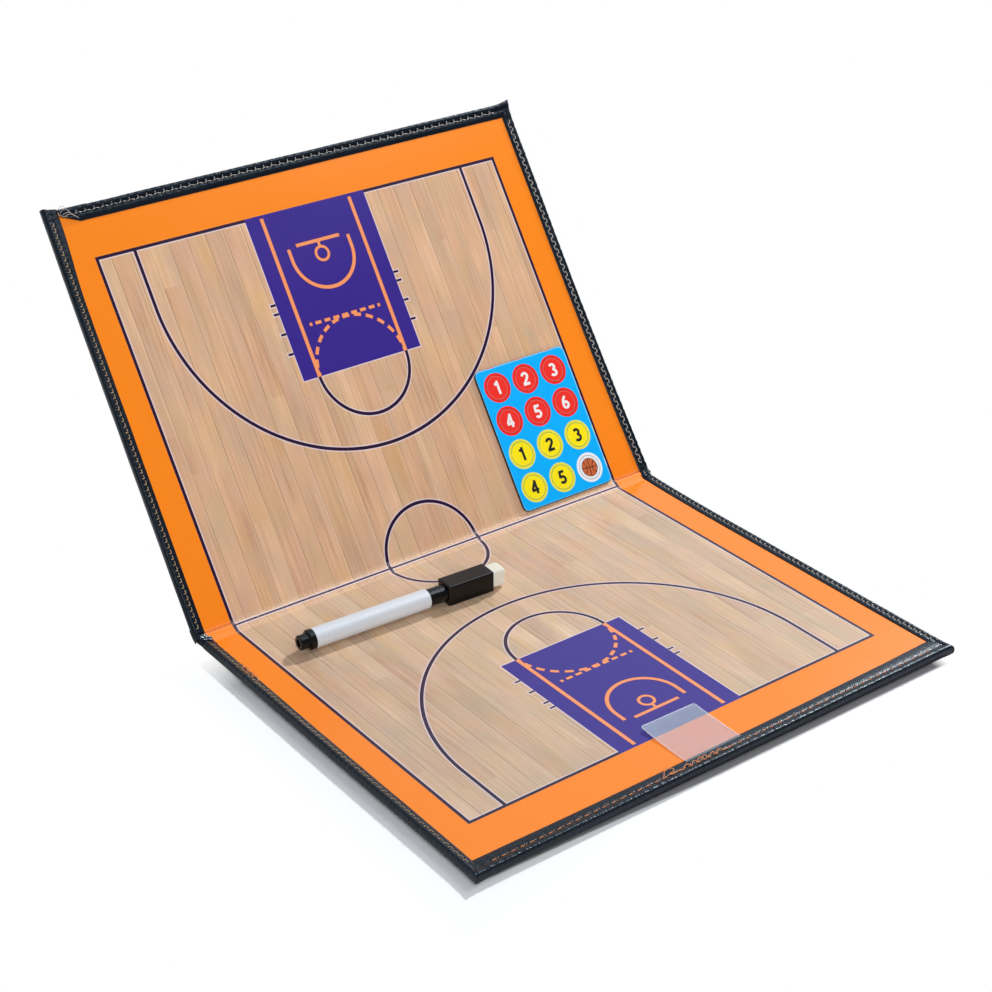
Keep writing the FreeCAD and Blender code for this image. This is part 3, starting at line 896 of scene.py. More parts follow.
for panel, pull_left, pull_right in (("base", 0.4, 0.4), ("cover", None, 1.2)):
    side_wrap(panel, "left", pull_left)
    side_wrap(panel, "right", pull_right)
    end_wrap(panel, pull_left, pull_right)
tuck = sweep(LIP, 0.3 - HALF_WIDTH, 21.5, 20)
close(tuck)
spread_out(tuck, "cover", "end")
leather_piece("cover_wrap_tuck", tuck, "cover", edge_place("cover", "end"))
print("six edge wraps, and the tuck below the cover's top left corner")

# %% [markdown]
# Between the strips the back of each panel is one flat sheet of leather. It is glued down by hand,
# so it isn't quite flat: a grid is lifted by slow noise that dies away towards the strips, and then
# given its thickness.


# %% Leather backs
TUCKED = 3.2
BACK_THICK = 0.75


def leather_back(panel, out_end):
    shape = bmesh.new()
    bmesh.ops.create_grid(shape, x_segments=64, y_segments=max(2, int(out_end / 4)), size=1)
    half = HALF_WIDTH - TURN_UNDER + TUCKED
    for vert in shape.verts:
        x = vert.co.x * half
        out = CLEAR + (vert.co.y + 1) / 2 * (out_end - CLEAR)
        margin = min(half - abs(x), out_end - out) - TUCKED
        wave = noise.noise((x * 0.03, out * 0.03, 5.0))
        wave += 0.5 * noise.noise((x * 0.09, out * 0.09, 1.0))
        vert.co = (x, out, -STACK + 0.07 + 0.07 * wave * smooth_step(margin / 12))
    bmesh.ops.solidify(shape, geom=shape.faces, thickness=-BACK_THICK)
    leather_piece(f"{panel}_leather_back", shape, panel, panel_place(panel), f"{panel}_leather")


for panel, depth in DEPTHS.items():
    leather_back(panel, depth - TURN_UNDER + TUCKED)
leather_back("spine", SPINE_WIDTH - CLEAR)
for edge in SIDES:
    band, seam, _ = STRIPS["spine", edge]
    short = sweep(wrap_section(band, seam), CLEAR, SPINE_WIDTH - 2 * CLEAR, 10)
    close(short)
    trim(short, (CLEAR, 0, 0), (-1, 0, 1))
    trim(short, (SPINE_WIDTH - CLEAR, 0, 0), (1, 0, 1))
    spread_out(short, "spine", edge)
    place_wrap(short, "spine", edge)
print("backs and spine strips")

# %% [markdown]
# At a crease three soft things bend: the leather outside, the strips at both ends of the spine, and
# the laminated print inside. Each is a piece of its own, shaped to lie on the panel on one side of
# the crease before it and on the panel on the other side after it. bend_point gives any place near
# a crease: it mixes the two panels' planes with a smooth weight, which rounds the fold.

# %% Bending at the creases
CREASES = {"lower": ("base", "spine"), "upper": ("spine", "cover")}
SHEET_EDGE = 132.1
GUSSET_REACH, GUSSET_SOFT = 3.4, 1.6
FOLD_REACH, FOLD_SOFT = 1.5, 1.1


def bend_point(crease, x, along, up, soft):
    """A place that is along millimetres past a crease, in the frame's metres."""
    if crease == "lower":
        before = panel_place("base") @ Vector((x, -along, up))
        after = panel_place("spine") @ Vector((x, along, up))
    else:
        before = panel_place("spine") @ Vector((x, SPINE_WIDTH + along, up))
        after = panel_place("cover") @ Vector((x, along, up))
    return before.lerp(after, smooth_step(along / (2 * soft) + 0.5))


def bend_with(piece, crease, soft):
    """Bakes a piece's place into its mesh."""
    start = bend_point(crease, 0, -soft, 0, soft)
    bend_point(crease, 0, soft, 0, soft)
    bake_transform(piece)


def gusset(crease, edge):
    """Soft bunched leather over a strip's mitre, pinched along the crease."""
    start = -GUSSET_REACH if crease == "lower" else -SPINE_WIDTH / 2
    length = GUSSET_REACH + SPINE_WIDTH / 2
    band, seam, _ = STRIPS["spine", edge]
    section = upper_section(band + 0.1, seam) + [(-0.5, -1.8), (-0.45, -2.6)]
    shape = sweep(section, start, length, 26, closed=False)
    edge_x = HALF_WIDTH + bulge("base" if crease == "lower" else "cover", edge, 0)
    for vert in shape.verts:
        along, inward, up = vert.co
        pinch = math.exp(-((along / 1.3) ** 2))
        fold = math.sin(along * 5.2 + inward * 0.9) * math.exp(-((along / 2.6) ** 2))
        if up > 0.1:
            up = up * (1 - 0.55 * pinch) + 0.13 * fold + 0.06
        inward -= 0.08 * (1 - pinch)
        vert.co = bend_point(crease, SIDES[edge] * (edge_x - inward), along, up, GUSSET_SOFT)
    bmesh.ops.solidify(shape, geom=shape.faces, thickness=0.25 * MM)
    piece = add_piece(f"gusset_{crease}_{edge}", shape, leather)
    bend_with(piece, crease, GUSSET_SOFT)


print("rules for", len(CREASES), "creases")

# %% [markdown]
# The leather outside a crease is one profile across the whole board, turned about the crease line.
# The print is a narrow grid laid over the crease. Its place on the court is kept in a UV map,
# because its Object coordinates no longer lie on one panel.


# %% Leather and print in the creases
def bent_leather(crease):
    """The leather outside a crease, turned about the crease line, with its rolled ends."""
    profile = [(-0.4, -0.4)] + LOWER_ROLL + [(60.0, -STACK), (HALF_WIDTH, -STACK)]
    panel = "base" if crease == "lower" else "cover"
    left, right = [
        [(side * (HALF_WIDTH - spread(panel, edge, 0, *place)[1]), place[1]) for place in profile]
        for edge, side in SIDES.items()
    ]
    outer = left + right[-2::-1]
    inner = [(x * (1 - 1.1 / HALF_WIDTH), max(up, -STACK + 0.8)) for x, up in reversed(outer)]
    shape = draw_out([(x * MM, 0, up * MM) for x, up in outer + inner], angle=FOLD, steps=8)
    close(shape)
    origin, tilt, _ = PANELS[CREASES[crease][1]]
    swing = Matrix.Translation(origin) @ Matrix.Rotation(tilt - FOLD, 4, "X")
    piece = add_piece(f"crease_soft_{crease}", shape, leather, swing)
    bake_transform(piece)
    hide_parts(f"crease_leather_{crease}")


def print_fold(crease, finish):
    """The laminate's rounded fold."""
    shape = bmesh.new()
    bmesh.ops.create_grid(shape, x_segments=60, y_segments=10, size=1)
    court = shape.loops.layers.uv.new("court")
    middle = -SPINE_WIDTH / 2 if crease == "lower" else SPINE_WIDTH / 2
    for face in shape.faces:
        for corner in face.loops:
            x, along, _ = corner.vert.co
            corner[court].uv = (x * SHEET_EDGE + COURT_LEFT, along * FOLD_REACH + middle)
    for vert in shape.verts:
        x, along, _ = vert.co
        ridge = 0.05 * noise.noise((x * 30.0, along * 2.0, middle)) * (1 - along * along)
        up = 0.035 + ridge * 0.6
        vert.co = bend_point(crease, x * SHEET_EDGE, along * FOLD_REACH, up, FOLD_SOFT)
    bmesh.ops.solidify(shape, geom=shape.faces, thickness=0.03 * MM)
    piece = add_piece(f"print_fold_{crease}", shape, finish)
    bend_with(piece, crease, FOLD_SOFT)


def fold_court(coords):
    x, along, _ = coords.node("UVMap", {}, uv_map="court").split()
    return court_surface(x, along, NO_LIGHT_TINT)


fold_print = mix("court_print_folds", fold_court)
for crease in CREASES:
    bent_leather(crease)
    print_fold(crease, fold_print)
    for edge in SIDES:
        gusset(crease, edge)
print("creases bend")

# %% [markdown]
# Sewing thread shows as short dashes that sink into the leather at both ends, so a stitch is a
# slender ellipsoid, half buried. The front has a running stitch. The sides have a ladder, where
# every dash also has a tick towards the roll, the top has a zigzag, and the cover's right side has
# a square wave. A plain running row shows on the back of every edge. One row is one piece.


# %% Stitches
def thread_surface(coords, dark, light):
    twist = speckle(in_mm(coords), 2.6)
    return {
        "Base Color": over(twist, dark, light),
        "Roughness": 0.85 - twist * 0.2,
        "Specular IOR Level": 0.3,
        "Normal": bump(twist, 0.12),
    }


def stitch(shape, start, end, thickness):
    """One visible stitch, thickest in the middle."""
    start, end = Vector(start), Vector(end)
    along = end - start
    size = Matrix.Diagonal((thickness / 2, thickness / 2, along.length / 2, 1))
    turned = along.to_track_quat("Z", "Y").to_matrix().to_4x4()
    place = Matrix.Translation((start + end) / 2) @ turned @ size
    bmesh.ops.create_uvsphere(shape, u_segments=6, v_segments=5, radius=1, matrix=place)


# Each kind of stitch: its dashes, from and to along in pitches, then from and to in from the seam
KINDS = {
    "running": ((0.16, 0.7, 0.0, 0.0), (0.82, 0.92, -0.1, 0.4)),
    "ladder": ((0.1, 0.85, 0.0, 0.0), (0.14, 0.2, 0.1, -1.5)),
    "zigzag": ((0.05, 0.5, 0.35, -0.25), (0.5, 0.95, -0.25, 0.35), (0.3, 0.34, -0.2, -1.5)),
    "square": (
        (0.05, 0.5, 0.6, 0.6), (0.5, 0.95, -0.8, -0.8), (0.5, 0.52, 0.7, -0.9),
        (0.0, 0.02, -0.9, 0.7),
    ),
}
SEAM_UP = 0.8
BACK_ROW_IN, BACK_THREAD = 1.0, 0.5


def stitch_row(panel, edge, kind, finish, first, last, thickness):
    """A row of stitches along an edge, on the print side and on the back."""
    _, seam, pitch = STRIPS[panel, edge]
    shape = bmesh.new()
    for number in range(math.ceil(first / pitch), math.floor(last / pitch)):
        hole = number * pitch
        stray = 0.14 * noise.noise((hole * 3.7, seam, 2.0))
        for begin, stop, from_seam, to_seam in KINDS[kind]:
            ends = [
                (hole + share * pitch, seam + offset + stray, SEAM_UP + 0.2 * max(-offset, 0.0))
                for share, offset in ((begin, from_seam), (stop, to_seam))
            ]
            stitch(shape, *ends, thickness)
        behind = [(hole + share, seam + BACK_ROW_IN, -STACK) for share in (0.3, pitch - 0.5)]
        stitch(shape, *behind, BACK_THREAD)
    spread_out(shape, panel, edge)
    name, place = f"{panel}_stitches_{edge}", edge_place(panel, edge)
    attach(add_piece(name, shape, finish, place, sharp=180.0), panel)


orange_thread = mix("orange_thread", thread_surface, paint(186, 98, 50), paint(240, 172, 124))
tan_thread = mix("tan_thread", thread_surface, paint(134, 108, 84), paint(214, 186, 150))
grey_thread = mix("grey_thread", thread_surface, paint(138, 132, 128), paint(226, 220, 212))
stitch_row("base", "end", "running", orange_thread, -127, 127, 0.46)
stitch_row("base", "left", "ladder", tan_thread, 2, 202, 0.4)
stitch_row("base", "right", "ladder", grey_thread, 2, 202, 0.4)
stitch_row("cover", "end", "zigzag", grey_thread, -121, 127, 0.42)
stitch_row("cover", "left", "ladder", tan_thread, 2, 203, 0.42)
stitch_row("cover", "right", "square", grey_thread, 2, 200, 0.46)
print("six rows of stitches")

# %% [markdown]
# Where a seam was sewn twice, thread is left over: one open loop and a tangle of short ones beside
# the tab, a tuft on the base's left strip, and frayed ends where the top strip begins. Each is a
# short smooth curve with both its ends in the leather, drawn in its edge's own millimetres as
# (along, in, up) and given a round section.


# %% Loose thread
def loose_thread(name, panel, edge, loops, thickness, finish):
    thread = bpy.data.curves.new(name, "CURVE")
    thread.dimensions = "3D"
    thread.bevel_depth = thickness / 2
    thread.bevel_resolution = 2
    thread.resolution_u = 6
    for loop in loops:
        line = thread.splines.new("NURBS")
        line.points.add(len(loop) - 1)
        for point, place in zip(line.points, loop):
            point.co = (*spread(panel, edge, *place), 1.0)
        line.order_u = 3
        line.use_endpoint_u = True
    pattern = bpy.data.objects.new("loose_thread_pattern", thread)
    scene.collection.objects.link(pattern)
    shape = bmesh.new()
    shape.from_mesh(bpy.data.meshes.new_from_object(pattern))
    bpy.data.objects.remove(pattern)
    close(shape)
    place = edge_place(panel, edge)
    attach(add_piece(name, shape, finish, place, sharp=60.0), panel)
    print(name, len(loops), "loops")


loose_thread("loose_thread_front", "base", "end", (
    ((-36, 3.2, 0.8), (-34.6, 4.4, 1.2), (-33, 6.4, 1.4), (-30, 6.9, 1.4), (-28.4, 5.6, 1.3),
     (-29.6, 4.2, 1.2), (-33, 3.6, 1.2), (-30, 3.2, 1.0), (-26, 3.9, 0.7)),
    ((-25, 3.2, 0.7), (-23.6, 4.4, 1.3), (-21.6, 4.6, 1.5), (-21.8, 3.2, 1.4), (-20.4, 2.8, 0.8)),
    ((-20.5, 3.0, 0.7), (-19.5, 4.4, 1.4), (-17.6, 4.2, 1.7), (-18.2, 2.7, 1.5),
     (-16.3, 2.7, 1.2), (-15.6, 3.8, 0.7)),
    ((-17.2, 3.2, 0.7), (-16.4, 4.6, 1.5), (-14.4, 4.6, 1.8), (-14.6, 2.9, 1.6), (-13.2, 2.9, 0.8)),
    ((-14.6, 3.4, 0.7), (-13.4, 4.9, 1.4), (-11.6, 4.3, 1.8), (-12.4, 2.7, 1.5),
     (-10.4, 2.8, 1.2), (-9.6, 4.0, 0.7)),
    ((-10.6, 2.9, 0.7), (-9.4, 4.3, 1.4), (-7.6, 4.4, 1.7), (-8.0, 3.0, 1.4), (-6.2, 2.8, 0.8)),
    ((-7.0, 3.2, 0.7), (-5.4, 4.6, 1.4), (-3.4, 4.2, 1.5), (-3.9, 2.9, 1.4), (-0.9, 3.1, 1.1),
     (1.7, 3.5, 0.7)),
), 0.44, orange_thread)
loose_thread("loose_thread_left", "base", "left", (
    ((25, 2.8, 0.7), (26.5, 4.4, 1.3), (29, 4.0, 1.5), (29.4, 2.4, 1.4), (31.5, 2.3, 0.8)),
    ((28.5, 3.0, 0.7), (30, 4.8, 1.4), (33, 4.6, 1.6), (33.4, 2.6, 1.5), (31.8, 2.2, 1.2),
     (35.5, 2.9, 0.8)),
    ((33, 2.6, 0.8), (34.6, 4.6, 1.4), (37.2, 4.4, 1.5), (37, 2.8, 1.4), (39.5, 2.4, 0.8)),
    ((37, 3.0, 0.7), (38.6, 4.7, 1.3), (41.4, 4.2, 1.4), (42.4, 2.9, 0.8)),
), 0.36, orange_thread)
loose_thread("loose_thread_top", "cover", "end", (
    ((-126.6, 0.6, 1.2), (-125.4, -0.9, 1.7), (-123.4, -0.6, 1.9), (-122.6, 1.2, 1.4)),
    ((-126.0, 2.2, 1.2), (-124.6, 0.6, 1.9), (-122.4, 1.0, 2.0), (-121.4, 2.8, 1.3)),
    ((-125.4, 3.2, 0.7), (-123.4, 2.2, 1.8), (-120.6, 3.4, 1.7), (-119.6, 4.8, 0.8)),
    ((-124.0, 3.6, 0.5), (-121.8, 3.2, 1.4), (-119.2, 4.8, 1.3), (-117.8, 6.2, 0.6)),
    ((-126.8, 1.4, 1.2), (-127.4, 2.6, 1.6), (-125.0, 4.2, 1.4), (-122.6, 4.0, 0.6)),
), 0.26, grey_thread)

# %% [markdown]
# The token sheet is printed in one go and then die-cut, so the colour of each token runs on past
# its cut into the sheet. All of it follows one grid: a token's place is its column and row times
# the pitch, and the distance from the nearest grid point draws every ring. Below the thin print the
# sides of the magnet rubber are black.

# %% Token prints
TOKEN_PITCH = 18.0
TOKEN_FIRST = (65.1, 11.1)
PRINT_FROM = 0.8
TOKEN_TOP = 1.0
CUT_RING = 5.75
RED = paint(240, 44, 36)
# The pink of a painted highlight along the cut of red tokens, also mottled over their faces
RED_RIM_GLINT = paint(240, 92, 84)
YELLOW = paint(255, 232, 8)
YELLOW_EDGE = paint(232, 226, 70)
MAGNET_BLACK, MAGNET_DUST = paint(24, 24, 27), paint(48, 47, 48)


def token_grid(coords):
    """Across and out from the nearest token's middle, its column and row, and the height."""
    x, out, up = on_panel(coords, "cover").split()
    column = ((x - TOKEN_FIRST[0]) / TOKEN_PITCH + 0.5).math("FLOOR")
    row = ((out - TOKEN_FIRST[1]) / TOKEN_PITCH + 0.5).math("FLOOR")
    across = x - TOKEN_FIRST[0] - column * TOKEN_PITCH
    return across, out - TOKEN_FIRST[1] - row * TOKEN_PITCH, column, row, up


def magnet_surface(coords, colour, up):
    """Glossy print on top, dull black rubber on the sides and below."""
    place = in_mm(coords)
    rubber = inside(up - PRINT_FROM, 0.06)
    dust = speckle(place, 1.4, 3.0)
    smear = speckle(place, 0.12)
    return {
        "Base Color": over(rubber, colour, over(dust, MAGNET_BLACK, MAGNET_DUST)),
        "Roughness": rubber * 0.4 + smear * 0.16 + 0.22,
        "Specular IOR Level": 0.2,
        "Normal": bump(dust * 0.6 + smear, 0.02, 0.5),
    }


def token_surface(coords, colour, edge_colour):
    across, out, _, _, up = token_grid(coords)
    face = layered(
        colour,
        (speckle(in_mm(coords), 0.6, 3.0) * 0.16, edge_colour),
        # On red tokens this pink rim inside the cut is a painted highlight; on yellow tokens it is
        # the yellow-green of the print
        (inside(CUT_RING - reach(across, out), 0.3), edge_colour),
    )
    return magnet_surface(coords, face, up)


red_token = mix("red_token", token_surface, RED, RED_RIM_GLINT)
yellow_token = mix("yellow_token", token_surface, YELLOW, YELLOW_EDGE)
dress(red_token, *[f"token_red_{number}" for number in range(1, 7)])
dress(yellow_token, *[f"token_yellow_{number}" for number in range(1, 6)])
print("eleven tokens printed")

# %% [markdown]
# The sheet around the tokens is blue, with a pale rim where the print stops short of the cut, and
# its lower and left edges show the black rubber. The twelfth token is white with a ball on it. The
# ball's seams are two straight lines and two arcs, again as distances.

# %% Sheet and ball prints
BLEED_RADIUS = 7.8
SHEET_MIDDLE = (83.1, 38.1)
SHEET_HALF = (28.7, 37.7)
SHEET_CORNER = 3.5
BLUE, MOTTLED_BLUE = paint(4, 176, 255), paint(22, 174, 252)
BLUE_RIM = paint(170, 222, 244)
# The second white is a grey for painted shade along the white token's cut
WHITE, WHITE_CUT_SHADE = paint(240, 241, 246), paint(168, 172, 184)
BALL_RADIUS, BALL_SEAM, BALL_LEAN = 4.6, 0.2, math.radians(-5)
BALL_SKIN, BALL_RUBBED, BALL_LINE = paint(170, 76, 40), paint(228, 124, 74), paint(30, 22, 24)


def sheet_surface(coords):
    across, out, column, row, up = token_grid(coords)
    on_ball = inside(row - 0.5, 0.2) * inside(1.5 - column, 0.2)
    bleed = layered(YELLOW_EDGE, (inside(row * -1 + 1.5, 0.2), RED), (on_ball, WHITE))
    place = on_panel(coords, "cover").split()[:2]
    off = [(part - middle, half) for part, middle, half in zip(place, SHEET_MIDDLE, SHEET_HALF)]
    corner = reach(*[highest(abs(part) - half + SHEET_CORNER, 0.0) for part, half in off])
    from_edge = SHEET_CORNER - corner
    low_corner = lowest(*[part + half for part, half in off])
    face = layered(
        BLUE,
        (speckle(in_mm(coords), 0.25, 3.0) * 0.3, MOTTLED_BLUE),
        (inside(reach(across, out) - BLEED_RADIUS, 0.15), bleed),
        (inside(abs(from_edge - 0.35) - 0.2, 0.2) * 0.7, BLUE_RIM),
        (inside(from_edge - 0.4, 0.2) * inside(low_corner - 1.0, 0.4), MAGNET_BLACK),
    )
    return magnet_surface(coords, face, up)


def ball_surface(coords):
    across, out, _, _, up = token_grid(coords)
    u = across * math.cos(BALL_LEAN) + out * math.sin(BALL_LEAN)
    v = out * math.cos(BALL_LEAN) - across * math.sin(BALL_LEAN)
    curved = [abs(reach(u + side * 5.3, v) - 3.6) for side in (-1, 1)]
    skin = layered(
        BALL_SKIN,
        (speckle(in_mm(coords), 1.2, 3.0), BALL_RUBBED),
        (inside(lowest(abs(u), abs(v), *curved) - BALL_SEAM, 0.2), BALL_LINE),
    )
    radius = reach(across, out)
    ball_edge = radius - BALL_RADIUS
    face = layered(
        WHITE,
        # Painted shade: a grey ring just inside the cut, for the shade in the die-cut groove
        (inside(abs(radius - 5.9) - 0.2, 0.3) * 0.5, WHITE_CUT_SHADE),
        (inside(ball_edge - 0.3, 0.2), BALL_LINE),
        (inside(ball_edge, 0.2), skin),
    )
    return magnet_surface(coords, face, up)


dress(mix("token_sheet_print", sheet_surface), "token_carrier")
dress(mix("ball_token", ball_surface), "token_ball")
print("sheet and ball printed")

# %% [markdown]
# A numeral is a few broad strokes. Each stroke is a ribbon: its middle line is a short list of
# points in a box one unit high, bends are pieces of an ellipse, and the ribbon's two sides stand
# off that line by half its breadth. Extruded by a hair and laid on its token, it reads as print.

# %% Numerals
NUMERAL_HEIGHT = 7.1
BREADTH = 0.2


def bend(middle_x, middle_y, wide, high, start, end):
    """Points on an ellipse from one angle to another, in degrees."""
    steps = max(4, round(abs(end - start) / 12))
    turns = [math.radians(start + (end - start) * step / steps) for step in range(steps + 1)]
    return [(middle_x + wide * math.cos(turn), middle_y + high * math.sin(turn)) for turn in turns]


STROKES = {
    "1": [[(0.36, 0.0), (0.36, 1.0)], [(0.4, 0.86), (0.28, 0.8), (0.1, 0.76)]],
    "2": [bend(0.31, 0.69, 0.22, 0.21, 170, -35) + [(0.1, 0.13)], [(0.0, 0.1), (0.58, 0.1)]],
    "3": [bend(0.28, 0.715, 0.2, 0.185, 150, -90), bend(0.28, 0.3, 0.23, 0.205, 95, -155)],
    "4": [[(0.42, 0.0), (0.42, 1.0)], [(0.44, 0.93), (0.06, 0.33)], [(0.0, 0.29), (0.6, 0.29)]],
    "5": [
        [(0.12, 0.9), (0.54, 0.9)], [(0.19, 0.96), (0.12, 0.46)],
        bend(0.28, 0.325, 0.23, 0.225, 138, -152),
    ],
    "6": [bend(0.3, 0.31, 0.21, 0.21, 0, 360), bend(0.66, 0.31, 0.57, 0.68, 180, 114)],
}


def ink_surface(coords, colour, worn):
    dots = speckle(in_mm(coords), 2.2, 3.0)
    return {
        "Base Color": over(dots * 0.5, colour, worn),
        "Roughness": 0.3 + dots * 0.12,
        "Specular IOR Level": 0.3,
    }


def numeral(token, text, column, row, finish):
    shape = bmesh.new()
    for layer, line in enumerate(STROKES[text]):
        points = [Vector(point) for point in line]
        up = 0.001 * layer
        rails = []
        for index, point in enumerate(points):
            ahead = points[min(index + 1, len(points) - 1)] - points[max(index - 1, 0)]
            if points[0] == points[-1] and index in (0, len(points) - 1):
                ahead = points[1] - points[-2]
            off = Vector((-ahead.y, ahead.x)).normalized() * BREADTH / 2
            rails.append([shape.verts.new((*(point + side * off), up)) for side in (-1, 1)])
        for (a, b), (c, d) in zip(rails, rails[1:]):
            shape.faces.new((a, b, d, c))
    bmesh.ops.remove_doubles(shape, verts=shape.verts, dist=1e-5)
    bmesh.ops.recalc_face_normals(shape, faces=shape.faces)
    bmesh.ops.solidify(shape, geom=shape.faces, thickness=0.003)
    xs = [vert.co.x for vert in shape.verts]
    grid = [first + step * TOKEN_PITCH for first, step in zip(TOKEN_FIRST, (column, row))]
    spot = Matrix.Translation((*grid, TOKEN_TOP + 0.03))
    middle = Matrix.Translation((-(min(xs) + max(xs)) / 2, -0.5, 0))
    place = panel_place("cover") @ (spot @ Matrix.Scale(NUMERAL_HEIGHT, 4) @ middle)
    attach(add_piece(f"numeral_{token}", shape, finish, place), f"token_{token}")


white_ink = mix("white_ink", ink_surface, paint(246, 242, 240), paint(232, 222, 220))
black_ink = mix("black_ink", ink_surface, paint(24, 22, 24), paint(44, 40, 34))
for colour, count, top_row, ink in (("red", 6, 3, white_ink), ("yellow", 5, 1, black_ink)):
    for index in range(count):
        text = str(index + 1)
        row = top_row - index // 3
        numeral(f"{colour}_{text}", text, index % 3, row, ink)
print("eleven numerals")

# %% [markdown]
# The closing tab is a strip of soft milky plastic, sewn in under the front wrap. It is one sheet
# that stays flat under the stitches, curves up over the print and lifts most at its left corner.
# A grid is bent by that rule, its free corners are rounded, and it gets its thickness. The cut
# edges look whiter than the face, because light gathers there.

# %% Closing tab
TAB_LEFT, TAB_RIGHT = -20.25, 10.25
TAB_HINGE_OUT = 199.1
TAB_TAIL, TAB_LENGTH = 5.0, 26.5
TAB_CURVE = 400.0
TAB_UP, TAB_THICK, TAB_ROUNDING = 0.1, 0.45, 1.1
tab = bmesh.new()
bmesh.ops.create_grid(tab, x_segments=24, y_segments=24, size=1)
corner_verts = [vert for vert in tab.verts if vert.co.y > 0.99 and abs(vert.co.x) > 0.99]
for vert in tab.verts:
    across = (vert.co.x + 1) / 2
    along = -TAB_TAIL + (vert.co.y + 1) / 2 * (TAB_TAIL + TAB_LENGTH)
    turn = max(along, 0.0) / TAB_CURVE
    lift = 0.5 * (1 - across) ** 2 * max(along / TAB_LENGTH, 0.0) ** 2
    ripple = 0.12 * noise.noise((across * 3.0, along * 0.12, 8.0)) * max(along / TAB_LENGTH, 0.0)
    vert.co = (
        TAB_LEFT + across * (TAB_RIGHT - TAB_LEFT),
        TAB_HINGE_OUT - min(along, 0.0) - TAB_CURVE * math.sin(turn),
        TAB_UP + TAB_CURVE * (1 - math.cos(turn)) + lift + ripple,
    )
bmesh.ops.bevel(
    tab, geom=corner_verts, offset=TAB_ROUNDING, offset_type="OFFSET", affect="VERTICES",
    segments=4, profile=0.5, material=-1,
)
bmesh.ops.recalc_face_normals(tab, faces=tab.faces)
bmesh.ops.solidify(tab, geom=tab.faces, thickness=-TAB_THICK)


def film_surface(coords):
    x, out, _ = on_panel(coords, "base").split()
    side_edge = lowest(x - TAB_LEFT, TAB_RIGHT - x)
    free_edge = out - (TAB_HINGE_OUT - TAB_LENGTH)
    rim = inside(lowest(side_edge, free_edge) - 0.3, 0.4)
    haze = speckle(in_mm(coords), 0.07, 3.0)
    scratches = flecks(x * 0.9, out * 0.12, 0.0, 4.0, 0.7)
    return {
        "Base Color": over(rim, paint(208, 222, 234), paint(246, 250, 254)),
        "Roughness": haze * 0.15 + scratches * 0.15 + 0.2,
        "Specular IOR Level": 0.15,
        "Alpha": highest(rim * 0.6, haze * 0.14 + 0.17),
        "Normal": bump(scratches + haze * 3, 0.03, 0.4),
    }


on_base = panel_place("base")
film = mix("milky_film", film_surface)
tab_piece = add_piece("closing_tab_film", tab, film, on_base)
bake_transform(tab_piece)
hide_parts("closing_tab", "tab_tail")
print("closing tab", TAB_RIGHT - TAB_LEFT, "mm wide")

# %% [markdown]
# The pen is moulded plastic: a white barrel with a soft gloss, and a black plug and cap with a
# finer, satin skin. Moulded skins are never perfect mirrors, so a slow noise varies the roughness
# and a fine one makes the slight orange peel. The ink parts inside show only with the cap off.


# %% Pen plastics
def plastic_surface(coords, colour, shade, roughness, gloss):
    place = in_mm(coords)
    handled = speckle(place, 0.6, 4.0, 0.7)
    return {
        "Base Color": over(inside(0.58 - handled, 0.3) * 0.5, colour, shade),
        "Roughness": speckle(place, 0.08, 3.0) * 0.14 + handled * 0.08 + roughness,
        "Specular IOR Level": gloss,
        "Normal": bump(speckle(place, 1.5), 0.012, 0.6),
    }


def fibre_surface(coords, dark, light, scale):
    place = in_mm(coords)
    strands = speckle(place, scale, 4.0, 0.7)
    clumps = speckle(place, scale * 0.2)
    return {
        "Base Color": over(strands * 0.7 + clumps * 0.3, dark, light),
        "Roughness": 0.92,
        "Specular IOR Level": 0.15,
        "Normal": bump(strands, 0.25),
    }


BARREL_WHITE, BARREL_SHADE = paint(214, 218, 224), paint(204, 210, 217)
CAP_BLACK, CAP_SHADE = paint(5, 5, 6), paint(10, 10, 11)
white_plastic = mix("white_plastic", plastic_surface, BARREL_WHITE, BARREL_SHADE, 0.2, 0.45)
black_plastic = mix("black_plastic", plastic_surface, CAP_BLACK, CAP_SHADE, 0.12, 0.28)
ink_fibre = mix("ink_fibre", fibre_surface, paint(12, 12, 16), paint(38, 38, 46), 3.0)
felt = mix("eraser_felt", fibre_surface, paint(214, 210, 192), paint(250, 248, 236), 2.2)
dress(white_plastic, "pen_barrel")
dress(black_plastic, "pen_end_plug", "nib_holder", "pen_cap")
dress(ink_fibre, "ink_reservoir", "pen_nib")
print("pen dressed")

# %% [markdown]
# The eraser is a block of pressed felt in a pocket at the cap's end. A cube is divided and its
# edges rounded, then its free end is crowned and every point is nudged by fine noise, so it has no
# straight moulded edge anywhere.

# %% Felt eraser
PEN_AT = Vector((-25.8, 67.5, 9.85)) * MM
pen_axis = Vector(joints["cap_pull"]["axis"])
pen_turn = math.atan2(pen_axis.y, pen_axis.x)
pen_place = Matrix.Translation(PEN_AT) @ Matrix.Rotation(pen_turn, 4, "Z") @ Matrix.Scale(MM, 4)
ERASER_FROM, ERASER_TO = 21.85, 32.45
ERASER_WIDTH, ERASER_HEIGHT, ERASER_ROUNDING = 8.5, 9.0, 1.5
POCKET_END, CROWN_FROM = 25.5, 30.0
block = bmesh.new()
bmesh.ops.create_cube(block, size=1)
size = Matrix.Diagonal((ERASER_TO - ERASER_FROM, ERASER_WIDTH, ERASER_HEIGHT, 1))
middle = Matrix.Translation(((ERASER_FROM + ERASER_TO) / 2, 0, 0))
bmesh.ops.transform(block, matrix=middle @ size, verts=block.verts)
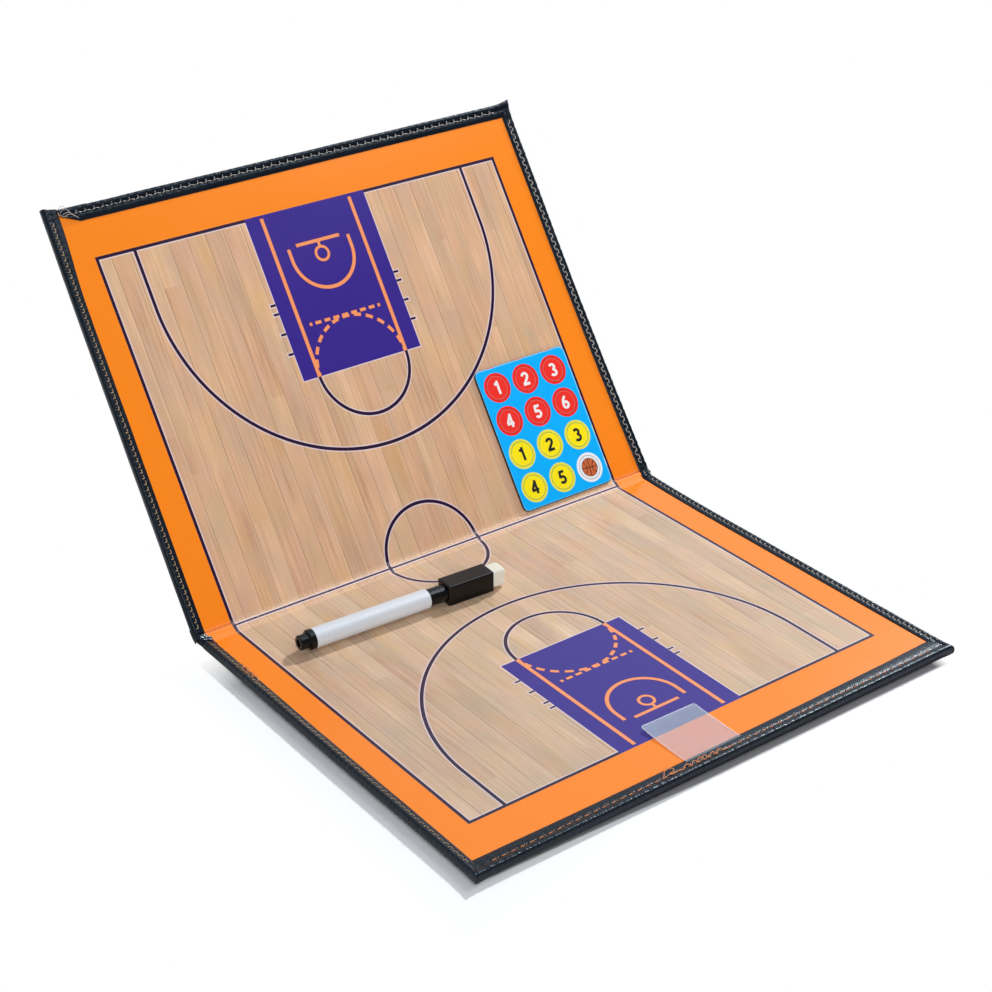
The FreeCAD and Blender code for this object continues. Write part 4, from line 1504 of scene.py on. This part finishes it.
bmesh.ops.bevel(
    block, geom=block.edges[:], offset=ERASER_ROUNDING, affect="EDGES", segments=4, profile=0.5,
    material=-1,
)
long_edges = [line for line in block.edges if line.calc_length() > 2]
bmesh.ops.subdivide_edges(block, edges=long_edges, cuts=14, use_grid_fill=True)
for vert in block.verts:
    x, y, z = vert.co
    free = smooth_step((x - POCKET_END) / 3)
    crown = 0.35 * (1 - (y / 4.4) ** 2) * (1 - (z / 4.7) ** 2) * smooth_step((x - CROWN_FROM) / 2.4)
    fuzz = 0.16 * noise.noise((x * 1.9, y * 1.9, z * 1.9)) * free
    swell = 1 + 0.012 * free
    vert.co = Vector((x + crown, y * swell, z * swell)) + vert.normal * fuzz
eraser = add_piece("felt_eraser", block, felt, pen_place, sharp=180.0)
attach(eraser, "pen_cap")
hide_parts("cap_eraser")
print("felt eraser", ERASER_TO - ERASER_FROM, "mm long")

# %% [markdown]
# Inside each panel lie a greyboard and a thin steel sheet. They hardly show, but the part can be
# taken apart, so the board gets its pressed fibres and specks, and the steel its rolling marks.


# %% Boards and steel
def board_surface(coords):
    place = in_mm(coords)
    pulp = speckle(place, 0.5, 5.0, 0.7)
    specks = inside(0.7 - speckle(place, 1.3, 1.0), 0.05)
    pressed = over(pulp, paint(126, 119, 110), paint(172, 165, 154))
    return {
        "Base Color": over(specks * 0.7, pressed, paint(84, 78, 72)),
        "Roughness": 0.9 - pulp * 0.1,
        "Specular IOR Level": 0.2,
        "Normal": bump(pulp, 0.12),
    }


def steel_surface(coords):
    x, y, z = in_mm(coords).split()
    rolled = flecks(x * 0.03, y * 4.0, z * 4.0, 3.0, 0.6)
    return {
        "Base Color": over(rolled, paint(150, 153, 156), paint(196, 198, 200)),
        "Metallic": 1.0,
        "Roughness": rolled * 0.2 + 0.25,
        "Normal": bump(rolled, 0.01, 0.5),
    }


dress(mix("greyboard", board_surface), "base_board", "spine_board", "cover_board")
dress(mix("sheet_steel", steel_surface), "base_steel_sheet", "cover_steel_sheet")
print("boards and steel dressed")
